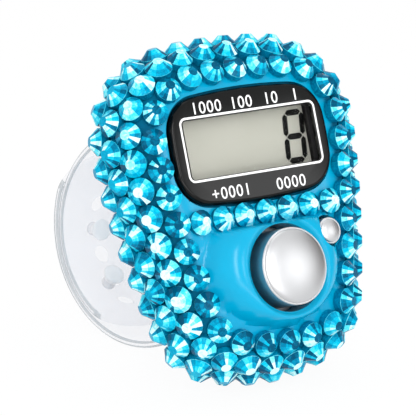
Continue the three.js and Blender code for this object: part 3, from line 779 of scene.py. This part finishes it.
def front_shell():
    skin_mesh = to_mesh(loft(skin(FLANK_RADIUS, SEAM, -1, boss_rise, FACE_RINGS)))
    room = to_mesh(loft(skin(FLANK_RADIUS - WALL, ROOM_PAST_SEAM, -1)))
    recess = prism(rim(BEZEL, RECESS_GAP, middle=BEZEL_MIDDLE), -FAR, RECESS_FLOOR)
    low, high = OPENING_HEIGHTS
    opening = box((-OPENING_HALF_WIDTH, -FAR, low), (OPENING_HALF_WIDTH, SHELL_FLOOR, high))
    return cut(
        skin_mesh,
        [
            room,
            recess,
            opening,
            drum(COUNT_WELL, -FAR, SHELL_FLOOR, *COUNT_MIDDLE),
            drum(RESET_WELL, -FAR, SHELL_FLOOR, *RESET_MIDDLE, sides=64),
        ],
    )


def lug_tool(reach, half_width, front, back, turn):
    """A straight bar across the middle, cut round at its ends."""
    shape = bmesh.new()
    bmesh.ops.create_cube(shape, size=1)
    bmesh.ops.scale(shape, verts=shape.verts, vec=(2 * reach + 1, back - front, 2 * half_width))
    bmesh.ops.translate(shape, verts=shape.verts, vec=(0, (front + back) / 2, 0))
    bmesh.ops.rotate(shape, verts=shape.verts, matrix=Matrix.Rotation(math.radians(turn), 3, "Y"))
    return cut(to_mesh(shape), [drum(reach, front, back, 0, 0)], "INTERSECT")


def case_screws():
    """Places of the four screws, just outside the corner arcs' middles."""
    _, _, _, upper, lower = arc_centres(FACE)
    reach = (FACE["top_corner"] + 1.8) * math.sqrt(0.5)
    low = FACE["bottom_corner"] + 1.5
    turn = math.radians(-50)
    places = []
    for side in (-1, 1):
        places.append((side * (upper.x + reach), upper.y + reach))
        places.append((side * (lower.x + low * math.cos(turn)), lower.y + low * math.sin(turn)))
    return places


def rear_cover():
    """The back half, open for the door with its lugs, the band and the screws."""
    rings = skin(FLANK_RADIUS, SEAM + COVER_GAP, 1)[: FLANK_STEPS + 1]
    # The pad stands on the back with a small fillet at its foot and a rounded edge
    rings.append([(x, FLANK_RADIUS, z) for x, z in rim(FACE, 0.12 - PAD_INSET)])
    rings.append([(x, FLANK_RADIUS + 0.1, z) for x, z in rim(FACE, -PAD_INSET)])
    for k in range(7):
        angle = math.pi / 2 * k / 6
        inset = PAD_INSET + PAD_EDGE * (1 - math.cos(angle))
        depth = BACK - PAD_EDGE * (1 - math.sin(angle))
        rings.append([(x, depth, z) for x, z in rim(FACE, -inset)])
    skin_mesh = to_mesh(loft(rings))
    room = to_mesh(loft(skin(FLANK_RADIUS - WALL, -ROOM_PAST_SEAM, 1)))
    pocket = prism(rim(FACE, -PAD_INSET - WALL), 1, BACK - WALL)
    tools = [
        room,
        pocket,
        drum(DOOR_OPENING, DOOR_FLOOR, FAR, 0, 0),
        lug_tool(LUG_REACH, LUG_HALF_WIDTH, DOOR_FLOOR, FAR, LUG_TURN),
    ]
    for z in SLOT_HEIGHTS:
        tools.append(
            box(
                (-SLOT_HALF_WIDTH, SLOT_FLOOR, z - SLOT_HALF_HEIGHT),
                (SLOT_HALF_WIDTH, FAR, z + SLOT_HALF_HEIGHT),
            )
        )
    for x, z in case_screws():
        tools.append(drum(SCREW_BORE, SCREW_FLOOR, FAR, x, z, 40))
    return cut(skin_mesh, tools)


# Display


def view_block(border, corner, front, back):
    """A block as large as the view through the bezel, with a border round it."""
    width, height = VIEW_SIZE
    outline = rounded_rectangle(width + border, height + border, corner, VIEW_MIDDLE)
    return prism(outline, front, back)


def bezel():
    """The black frame, rounded at its front edge, with a rebate for the window behind."""
    rings = [[(x, BEZEL_BACK, z) for x, z in rim(BEZEL, 0, middle=BEZEL_MIDDLE)]]
    for k in range(9):
        angle = math.pi / 2 * k / 8
        inset = BEZEL_EDGE * (1 - math.cos(angle))
        depth = BEZEL_FRONT + BEZEL_EDGE * (1 - math.sin(angle))
        rings.append([(x, depth, z) for x, z in rim(BEZEL, -inset, middle=BEZEL_MIDDLE)])
    view = view_block(0, VIEW_CORNER, -FAR, 0)
    rebate = view_block(REBATE_BORDER, VIEW_CORNER, REBATE_FLOOR, 0)
    return cut(to_mesh(loft(rings)), [view, rebate])


def line_frame():
    """The thin printed line round the view."""
    shape = bmesh.new()
    loops = []
    for width, height, corner in LINE_EDGES:
        points = rounded_rectangle(width, height, corner, VIEW_MIDDLE)
        verts = [shape.verts.new((x, PRINT_DEPTH, z)) for x, z in points]
        loops += [shape.edges.new((verts[i - 1], verts[i])) for i in range(len(verts))]
    bmesh.ops.bridge_loops(shape, edges=loops)
    bmesh.ops.solidify(shape, geom=shape.faces, thickness=0.015)
    return to_mesh(shape)


def foam_gasket():
    """The black foam frame that keeps dust out between the bezel and the display glass."""
    outer = view_block(1.1, 0.6, -4.6, RECESS_FLOOR)
    return cut(outer, [view_block(0, VIEW_CORNER, -FAR, 0)])


def figures(text, x, z):
    """Plain printed figures, centred on a place of the bezel."""
    curve = bpy.data.curves.new("figures", "FONT")
    curve.body = text
    curve.size = FIGURE_HEIGHT / CAPITAL_SHARE
    curve.align_x = "CENTER"
    curve.extrude = 0.008
    curve.offset = 0.006
    curve.space_character = 1.12
    source = add("figures", curve)
    graph = bpy.context.evaluated_depsgraph_get()
    mesh_data = bpy.data.meshes.new_from_object(source.evaluated_get(graph))
    bpy.data.objects.remove(source)
    place = Matrix.Translation((x, PRINT_DEPTH, z - FIGURE_HEIGHT / 2))
    mesh_data.transform(place @ Matrix.Rotation(math.pi / 2, 4, "X"))
    return mesh_data


def segments(middle):
    """The seven bars of a figure eight, slanted to the right."""
    shape = bmesh.new()
    half = DIGIT_HEIGHT / 2
    left, right = -DIGIT_WIDTH / 2, DIGIT_WIDTH / 2
    bars = [((left, row * half), (right, row * half)) for row in range(3)]
    for x in (left, right):
        bars += [((x, row * half), (x, (row + 1) * half)) for row in range(2)]
    for start, end in bars:
        start, end = Vector(start), Vector(end)
        way = (end - start).normalized()
        across = Vector((-way.y, way.x)) * STROKE / 2
        tip = way * STROKE / 2
        a, b = start + way * STROKE_GAP, end - way * STROKE_GAP
        points = [a, a + tip + across, b - tip + across, b, b - tip - across, a + tip - across]
        corners = [
            (middle + p.x + (p.y - half) * SLANT, DIGIT_DEPTH, DIGIT_LOW + p.y) for p in points
        ]
        face = shape.faces.new([shape.verts.new(corner) for corner in corners])
        grown = bmesh.ops.extrude_face_region(shape, geom=[face])["geom"]
        moved = [part for part in grown if isinstance(part, bmesh.types.BMVert)]
        bmesh.ops.translate(shape, verts=moved, vec=(0, DIGIT_THICK, 0))
    return to_mesh(shape)


# Buttons


def button(middle, radius, rim_depth, crown, flange, steps=96):
    """A domed cap with a fine lip round its edge and a flange below the case."""
    dome = radius - CAP_LIP
    profile = [(0, rim_depth - crown)]
    for k in range(1, 13):
        angle = math.pi / 2 * k / 12
        profile.append((dome * math.sin(angle), rim_depth - crown * math.cos(angle)))
    profile += [
        (dome + 0.04, rim_depth + 0.03),
        (radius - 0.08, rim_depth + 0.02),
        (radius, rim_depth + 0.1),
        (radius, FLANGE_FRONT),
        (flange, FLANGE_FRONT),
        (flange, FLANGE_FRONT + FLANGE_THICK),
        (0, FLANGE_FRONT + FLANGE_THICK),
    ]
    return turned(profile, *middle, steps=steps)


def rubber_dome(middle, foot):
    """A thin domed spring that stands on the board."""
    crown = foot * 0.55
    under = DOME_TOP + 0.45
    profile = [(0, DOME_TOP), (crown * 0.9, DOME_TOP), (crown, DOME_TOP + 0.04)]
    profile += [(foot - 0.1, DOME_FOOT - 0.12), (foot, DOME_FOOT), (foot - 0.35, DOME_FOOT)]
    profile += [(crown - 0.3, under), (0, under)]
    return turned(profile, *middle, steps=40)


# Stones


def run_lengths(points):
    """How far along a line each of its points lies."""
    lengths = [0.0]
    for a, b in zip(points, points[1:]):
        lengths.append(lengths[-1] + (b - a).length)
    return lengths


def even(points, count, start):
    """Places along a closed outline at even steps, with the way it runs there."""
    loop = [Vector(p) for p in points] + [Vector(points[0])]
    lengths = run_lengths(loop)
    found = []
    for k in range(count):
        want = ((start + k) / count % 1) * lengths[-1]
        i = next(j for j in range(1, len(loop)) if lengths[j] >= want)
        share = (want - lengths[i - 1]) / (lengths[i] - lengths[i - 1])
        along = (loop[i] - loop[i - 1]).normalized()
        found.append((loop[i - 1].lerp(loop[i], share), along))
    return found


def row_places(count, tilt, start, spaced_at=None, radius=STONE_RADIUS):
    """Each stone's seat on the flank, with the way it faces and its largest radius.

    The tilt is in degrees from the face, and two rows that are spaced at one tilt keep in step.
    """
    spread = FLANK_RADIUS * math.sin(math.radians(spaced_at or tilt))
    turn = math.radians(tilt)
    places = []
    for point, along in even(rim(FACE, spread, (60, 40, 120, 30, 70)), count, start):
        away = Vector((-along.y, along.x))
        core = point - away * spread
        out = Vector((away.x * math.sin(turn), -math.cos(turn), away.y * math.sin(turn)))
        base = Vector((core.x, 0, core.y)) + out * STONE_SEAT
        places.append({"base": base, "out": out, "radius": radius})
    return places


def bridge_places():
    """The straight row between the display and the buttons."""
    places = []
    for i in range(BRIDGE_COUNT):
        x = BRIDGE_MIDDLE + (i - BRIDGE_COUNT // 2) * BRIDGE_STEP
        base = Vector((x, BRIDGE_SUNK - STONE_SEAT, BRIDGE_HEIGHT))
        places.append({"base": base, "out": Vector((0, -1, 0)), "radius": BRIDGE_RADIUS})
    return places


ROWS = {
    "face": row_places(30, 26, 0.92, radius=1.5),
    "shoulder": row_places(35, 54, 0.03, 80),
    "side": row_places(35, 80, 0.53),
    "rear": row_places(35, 106, 0.03, 80),
    "bridge": bridge_places(),
}


def size_stones():
    """Each stone just laps its neighbours and keeps clear of the reset button's boss."""
    stones = [stone for row in ROWS.values() for stone in row]
    centres = [stone["base"] + stone["out"] * STONE_GIRDLE for stone in stones]
    reset = Vector((RESET_MIDDLE[0], -STONE_SEAT - STONE_GIRDLE, RESET_MIDDLE[1]))
    for stone, centre in zip(stones, centres):
        spans = [(centre - other).length / 2 for other in centres if other is not centre]
        spans.append((centre - reset).length - RESET_ROOM)
        stone["radius"] = min(stone["radius"], min(spans) + STONE_OVERLAP)


size_stones()


def scatter(seed):
    """A fixed scatter value from 0 to 1 for a number."""
    return math.sin(seed * 12.9898 + 4.1) * 43758.5453 % 1


# How each row's painted facet light plays: painted light on the table, where its painted
# bright facets lie in degrees clockwise from the top, and how strongly they differ from the rest
PAINTED_FACET_PLAY = {
    "face": (0.02, 170, 0.16),
    "shoulder": (0.95, 110, 0.22),
    "side": (0.4, 70, 0.12),
    "rear": (0.35, 60, 0.12),
    "bridge": (0.95, 190, 0.2),
}
# Painted light of the stones' sides, facets and girdles
SIDE_TONE = 0.2
FACET_TONE = 0.45
GIRDLE_TONE = 0.72


def stone_row(name):
    """A row of cut stones, each facet with its own painted light or shade."""
    table_tone, bright, play = PAINTED_FACET_PLAY[name]
    shape = bmesh.new()
    painted_facet_light = shape.faces.layers.float.new("painted_facet_light")
    for number, stone in enumerate(ROWS[name]):
        radius = stone["radius"]
        out = stone["out"]
        up = (Vector((0, 0, 1)) - out * out.z).normalized()
        turn = Matrix((up.cross(out), up, out)).transposed().to_4x4()
        put = Matrix.Translation(stone["base"]) @ turn
        seed = number * 3.7 + len(name)
        spin = Matrix.Rotation(math.radians(22.5 * scatter(seed)), 4, "Z")
        before = set(shape.faces)
        bmesh.ops.create_cone(
            shape, cap_ends=True, segments=STONE_SIDES, radius1=radius * STONE_BACK, radius2=radius,
            depth=STONE_GIRDLE + STONE_SUNK,
            matrix=put @ spin @ Matrix.Translation((0, 0, (STONE_GIRDLE - STONE_SUNK) / 2)),
        )
        ends = [face for face in set(shape.faces) - before if len(face.verts) == STONE_SIDES]
        top = max(ends, key=lambda face: face.calc_center_median().dot(out))
        width = radius * math.cos(math.pi / STONE_SIDES)
        girdle = bmesh.ops.inset_individual(
            shape, faces=[top], thickness=0.001, depth=STONE_LIP
        )["faces"]
        outer = bmesh.ops.inset_individual(
            shape, faces=[top], thickness=width * (1 - STONE_MIDDLE),
            depth=STONE_RISE * STONE_MIDDLE_RISE,
        )["faces"]
        inner = bmesh.ops.inset_individual(
            shape, faces=[top], thickness=width * (STONE_MIDDLE - STONE_TABLE),
            depth=STONE_RISE * (1 - STONE_MIDDLE_RISE),
        )["faces"]
        for face in set(shape.faces) - before:
            way = face.calc_center_median() - stone["base"]
            flat = way - out * way.dot(out)
            clock = math.degrees(math.atan2(flat.dot(up.cross(out)), flat.dot(up)))
            step = round(clock / (360 / STONE_SIDES)) % STONE_SIDES
            level = SIDE_TONE
            if face is top:
                level = table_tone + 0.12 * (scatter(seed + 0.5) - 0.5)
            elif face in outer or face in inner:
                # Painted highlights on the facets that face the row's bright side, with a random
                # spread, lighter on the inner ones
                level = FACET_TONE + play * math.cos(math.radians(clock - bright))
                level += scatter(seed * 0.37 + step * 1.31) - 0.5
                level += 0.12 if face in inner else -0.06
            elif face in girdle:
                level = GIRDLE_TONE
            # Stones that face down get extra painted light, as if from the floor
            face[painted_facet_light] = level + 0.1 * max(0.0, -out.z)
    return bare_mesh(shape)


# Band


def loop_point(angle, inset):
    """A place in depth and height on the band's loop, in degrees up from its back."""
    turn = math.radians(angle)
    depth = BAND_MIDDLE[0] + (BAND_REACH[0] - inset) * math.cos(turn)
    return Vector((depth, BAND_MIDDLE[1] + (BAND_REACH[1] - inset) * math.sin(turn)))


def strap_line(side, slot_height, inset, end_angle):
    """Fine points of a strap's middle line, from its bead in the case round the loop."""
    joint = loop_point(side * BAND_MEETS, inset)
    ahead = (loop_point(side * (BAND_MEETS - 1), inset) - joint).normalized()
    points = [Vector((3.6 + 0.3 * k, slot_height)) for k in range(10)]
    # A smooth curve from the slot to the loop
    a = Vector((SLOT_EXIT, slot_height))
    b = a + Vector((EXIT_EASE, 0))
    c = joint - ahead * EXIT_EASE
    for k in range(1, 13):
        t = k / 12
        near = a * (1 - t) ** 3 + b * 3 * t * (1 - t) ** 2
        points.append(near + c * 3 * t * t * (1 - t) + joint * t**3)
    sweep = BAND_MEETS - side * end_angle
    for k in range(1, 121):
        points.append(loop_point(side * (BAND_MEETS - sweep * k / 120), inset))
    return points



def bevel(shape, edges, size, steps):
    bmesh.ops.bevel(
        shape, geom=edges, offset=size, segments=steps, profile=0.5, affect="EDGES", material=-1
    )


def flat_strip(total, hole_places):
    """A strap laid flat along x, with a round end, rounded edges and its holes."""
    shape = bmesh.new()
    bmesh.ops.create_cube(shape, size=1)
    bmesh.ops.scale(shape, verts=shape.verts, vec=(total, BAND_WIDTH, BAND_THICK))
    bmesh.ops.translate(shape, verts=shape.verts, vec=(total / 2, 0, 0))
    ends = [
        edge for edge in shape.edges
        if all(vert.co.x > total - 0.1 for vert in edge.verts)
        and abs(edge.verts[0].co.y - edge.verts[1].co.y) < 0.1
    ]
    bevel(shape, ends, BAND_WIDTH / 2 - 0.05, 14)
    level = [e for e in shape.edges if abs(e.verts[0].co.z - e.verts[1].co.z) < 0.1]
    bevel(shape, level, BAND_EDGE, 3)
    mesh_data = to_mesh(shape)
    tools = []
    for along in hole_places:
        tool = bmesh.new()
        bmesh.ops.create_cone(
            tool, cap_ends=True, segments=32, radius1=HOLE_RADIUS, radius2=HOLE_RADIUS, depth=4,
            matrix=Matrix.Translation((along, 0, 0)),
        )
        tools.append(to_mesh(tool))
    if tools:
        mesh_data = cut(mesh_data, tools)
    # Only the rounded long edges and the round end get the painted grey shade
    shaded_rim = mesh_data.attributes.new("shaded_rim", "FLOAT", "FACE")
    for face, value in zip(mesh_data.polygons, shaded_rim.data):
        square = max(abs(face.normal.y), abs(face.normal.z)) > 0.99
        value.value = 0.0 if square or abs(face.center.y) < BAND_WIDTH / 2 - 0.4 else 1.0
    return mesh_data


def strap(side, slot_height, inset, end_angle, holes=()):
    """A flat strip bent along its line."""
    line = strap_line(side, slot_height, inset, end_angle)
    lengths = run_lengths(line)
    total = lengths[-1]
    hole_places = []
    for angle in holes:
        spot = loop_point(angle, inset)
        near = min(range(len(line)), key=lambda i: (line[i] - spot).length)
        hole_places.append(lengths[near])
    bent = bmesh.new()
    bent.from_mesh(flat_strip(total, hole_places))
    for k in range(1, int(total / BAND_STEP)):
        bmesh.ops.bisect_plane(
            bent, geom=bent.verts[:] + bent.edges[:] + bent.faces[:],
            plane_co=(k * BAND_STEP, 0, 0), plane_no=(1, 0, 0),
        )
    for vert in bent.verts:
        along = min(max(vert.co.x, 0.0), total - 1e-6)
        i = next(j for j in range(1, len(line)) if lengths[j] > along or j == len(line) - 1)
        share = (along - lengths[i - 1]) / (lengths[i] - lengths[i - 1])
        spot = line[i - 1].lerp(line[i], share)
        way = (line[min(i + 1, len(line) - 1)] - line[max(i - 2, 0)]).normalized()
        spot += Vector((-way.y, way.x)) * vert.co.z
        vert.co = (vert.co.y, spot.x, spot.y)
    return to_mesh(bent)


def peg(angle):
    """A round-headed peg that stands in from the outer strap."""
    spot = loop_point(angle, BAND_THICK / 2)
    turn = math.radians(angle)
    away = Vector((0, math.cos(turn) / BAND_REACH[0], math.sin(turn) / BAND_REACH[1])).normalized()
    profile = [(0, 0), (PEG_SHANK, 0), (PEG_SHANK, 0.25 - PEG_REACH)]
    profile += [(PEG_HEAD - 0.05, 0.2 - PEG_REACH), (PEG_HEAD, -PEG_REACH)]
    for k in range(1, 7):
        a = math.pi / 2 * k / 6
        profile.append((PEG_HEAD * math.cos(a), -PEG_REACH - 0.5 * math.sin(a)))
    mesh_data = turned(profile, 0, 0, 32)
    square_on = Vector((0, 1, 0)).rotation_difference(away).to_matrix().to_4x4()
    mesh_data.transform(Matrix.Translation((0, spot.x, spot.y)) @ square_on)
    return mesh_data


def joined(parts):
    """One mesh from several, left as they are."""
    shape = bmesh.new()
    for part in parts:
        shape.from_mesh(part)
    return bare_mesh(shape)


# Pieces

shell = cover(front_shell())
finish_piece("front_shell_skin", shell, abs_turquoise, ["front_shell"])
back = cover(rear_cover())
finish_piece("rear_cover_skin", back, abs_turquoise, ["rear_cover"])
finish_piece("display_bezel_skin", bezel(), abs_black, ["display_bezel"])
finish_piece("printed_line_frame", line_frame(), white_ink)
finish_piece("foam_gasket", foam_gasket(), black_holder)
marks = [figures(text, x, MARK_HEIGHT) for text, x in PLACE_MARKS]
marks += [figures(text, x, LABEL_HEIGHT) for text, x in BUTTON_LABELS]
finish_piece("printed_figures", joined(marks), white_ink, sharp=20)
finish_piece("display_figure", segments(DIGIT_MIDDLE), segment_ink, sharp=20)
count_cap = button(COUNT_MIDDLE, COUNT_RADIUS, COUNT_RIM, COUNT_CROWN, COUNT_FLANGE)
finish_piece(
    "count_button_cap", count_cap, chrome, ["count_button"], body="count_key"
)
reset_cap = button(RESET_MIDDLE, RESET_RADIUS, RESET_RIM, RESET_CROWN, RESET_FLANGE, 64)
finish_piece(
    "reset_button_cap", reset_cap, chrome, ["reset_button"], body="reset_key"
)
for name in ROWS:
    finish_piece(
        "stones_" + name, stone_row(name), foiled_stone, ["crystal_row_" + name],
        sharp=1,
    )
inner = strap(1, SLOT_HEIGHTS[0], INNER_INSET, INNER_END, HOLE_ANGLES)
finish_piece("inner_strap", inner, vinyl, ["band_hole_strap"], sharp=50)
outer = strap(-1, SLOT_HEIGHTS[1], OUTER_INSET, OUTER_END)
finish_piece("outer_strap", outer, vinyl, ["band_peg_strap"], sharp=50)
pegs = joined([peg(angle) for angle in PEG_ANGLES])
finish_piece("outer_strap_pegs", pegs, thick_vinyl, sharp=50)

for name, joint, middle, foot, keep in (
    ("count_rubber_dome", "count_press", COUNT_MIDDLE, 3.2, 0.3),
    ("reset_rubber_dome", "reset_press", RESET_MIDDLE, 1.9, 0.5),
):
    dome = finish_piece(name + "_soft", rubber_dome(middle, foot), silicone, [name])
    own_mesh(dome)

# Hidden and plain parts are carried over from the solids and only take their finishes
CARRIED = {
    "battery_door": abs_turquoise,
    "display_window": window_clear,
    "lcd_front_glass": display_clear,
    "lcd_rear_glass": polariser,
    "lcd_reflector": reflector,
    "lcd_holder": black_holder,
    "zebra_connector": silicone,
    "circuit_board": laminate,
    "chip_blob": epoxy,
    "button_cell": nickel,
    "cell_base_contact": nickel,
    "cell_side_contact": nickel,
}
for number in range(1, 4):
    CARRIED[f"board_screw_{number}"] = zinc
for number in range(1, 5):
    CARRIED[f"case_screw_{number}"] = zinc
for name, finish in CARRIED.items():
    carried = frame["nodes"][name]
    carried.data.materials.clear()
    carried.data.materials.append(finish)


# Floor, light and camera, in metres

LIGHT_AIM = Vector((0, 0, 0.019))


def seen_directly(tree):
    """1 for rays that come from the camera, off a mirror or through glass, and else 0."""
    rays = node(tree, "ShaderNodeLightPath")
    seen = node(
        tree, "ShaderNodeMath",
        {0: rays.outputs["Is Camera Ray"], 1: rays.outputs["Is Glossy Ray"]}, operation="MAXIMUM",
    )
    seen = node(
        tree, "ShaderNodeMath",
        {0: seen.outputs["Value"], 1: rays.outputs["Is Transmission Ray"]}, operation="MAXIMUM",
    )
    return seen.outputs["Value"]


def floor():
    """White paper that looks as white as the background and keeps the counter's faint shadow."""
    shape = bmesh.new()
    bmesh.ops.create_grid(shape, x_segments=8, y_segments=8, size=1.5)
    mesh_data = bare_mesh(shape)
    piece = add("floor", mesh_data)
    made, tree, _ = material("white_paper")
    paper = node(tree, "ShaderNodeBsdfDiffuse", {"Color": linear("#F2F2F2")})
    white = node(tree, "ShaderNodeEmission", {"Color": (1, 1, 1, 1), "Strength": 1.0})
    share = node(
        tree, "ShaderNodeMath", {0: seen_directly(tree), 1: 0.94}, operation="MULTIPLY"
    )
    output(tree, mixed(tree, share.outputs["Value"], paper, white).outputs["Shader"])
    mesh_data.materials.append(made)


def world():
    """A white room all round, slightly dimmer as a light than as a background."""
    made = bpy.data.worlds.new("studio")
    made.use_nodes = True
    tree = made.node_tree
    tree.nodes.clear()
    strength = node(
        tree, "ShaderNodeMapRange", {"Value": seen_directly(tree), "To Min": 0.92, "To Max": 1.0}
    )
    back = node(
        tree, "ShaderNodeBackground",
        {"Color": (1, 1, 1, 1), "Strength": strength.outputs["Result"]},
    )
    node(tree, "ShaderNodeOutputWorld", {"Surface": back.outputs["Background"]})
    bpy.context.scene.world = made


def facing(place):
    """The turn of a lamp or a card at a place, towards the counter's middle."""
    return (LIGHT_AIM - Vector(place)).to_track_quat("-Z", "Y")


def lamp(name, place, size, power):
    data = bpy.data.lights.new(name, "AREA")
    data.shape = "RECTANGLE"
    data.size, data.size_y = size
    data.energy = power
    holder = add(name, data)
    holder.location = place
    holder.rotation_euler = facing(place).to_euler()


def card(name, place, size, shade):
    """A grey card that is seen only as a soft dark patch in shiny surfaces."""
    shape = bmesh.new()
    bmesh.ops.create_grid(shape, x_segments=1, y_segments=1, size=0.5)
    bmesh.ops.scale(shape, verts=shape.verts, vec=(size[0], size[1], 1))
    turn = facing(place).to_matrix().to_4x4()
    bmesh.ops.transform(shape, matrix=Matrix.Translation(place) @ turn, verts=shape.verts)
    mesh_data = bare_mesh(shape)
    piece = add(name, mesh_data)
    made, tree, _ = material(name + "_paint")
    paint = node(tree, "ShaderNodeEmission", {"Color": linear(shade), "Strength": 1.0})
    output(tree, paint.outputs["Emission"])
    mesh_data.materials.append(made)
    piece.visible_camera = False
    piece.visible_diffuse = False
    piece.visible_shadow = False
    piece.visible_transmission = False


floor()
world()
for name, place, size, power in (
    ("key", (-0.24, -0.38, 0.25), (0.08, 0.32), 0.85),
    ("fill", (0.27, -0.38, 0.14), (0.1, 0.1), 0.11),
    ("front", (0.03, -0.44, 0.2), (0.08, 0.14), 0.2),
    ("top", (0.02, 0.10, 0.45), (0.3, 0.3), 0.3),
    ("low", (-0.1, -0.4, 0.03), (0.4, 0.05), 0.3),
):
    lamp(name, place, size, power)
card("grey_card_right", (0.36, -0.06, 0.0), (0.5, 0.5), "#8A8683")

# The camera's place, what it looks at and its upward way, in the counter's own millimetres
CAMERA_PLACE = Vector((-190.2, -273.74, -7.13))
CAMERA_AIM = Vector((-5.02, -1.61, 0.74))
CAMERA_UP = Vector((0.1388, -0.1228, 0.9827))
view = bpy.data.cameras.new("view")
view.lens = 248.34
view.sensor_width = 36
view.clip_start = 0.01
view.clip_end = 10
camera = add("view", view)
backward = (CAMERA_PLACE - CAMERA_AIM).normalized()
right = CAMERA_UP.cross(backward).normalized()
aim = Matrix((right, backward.cross(right), backward)).transposed()
stance = PLACE.to_3x3().normalized() @ aim
camera.location = PLACE @ CAMERA_PLACE
camera.rotation_euler = stance.to_euler()
bpy.context.scene.camera = camera
bpy.context.scene.view_settings.view_transform = "Standard"
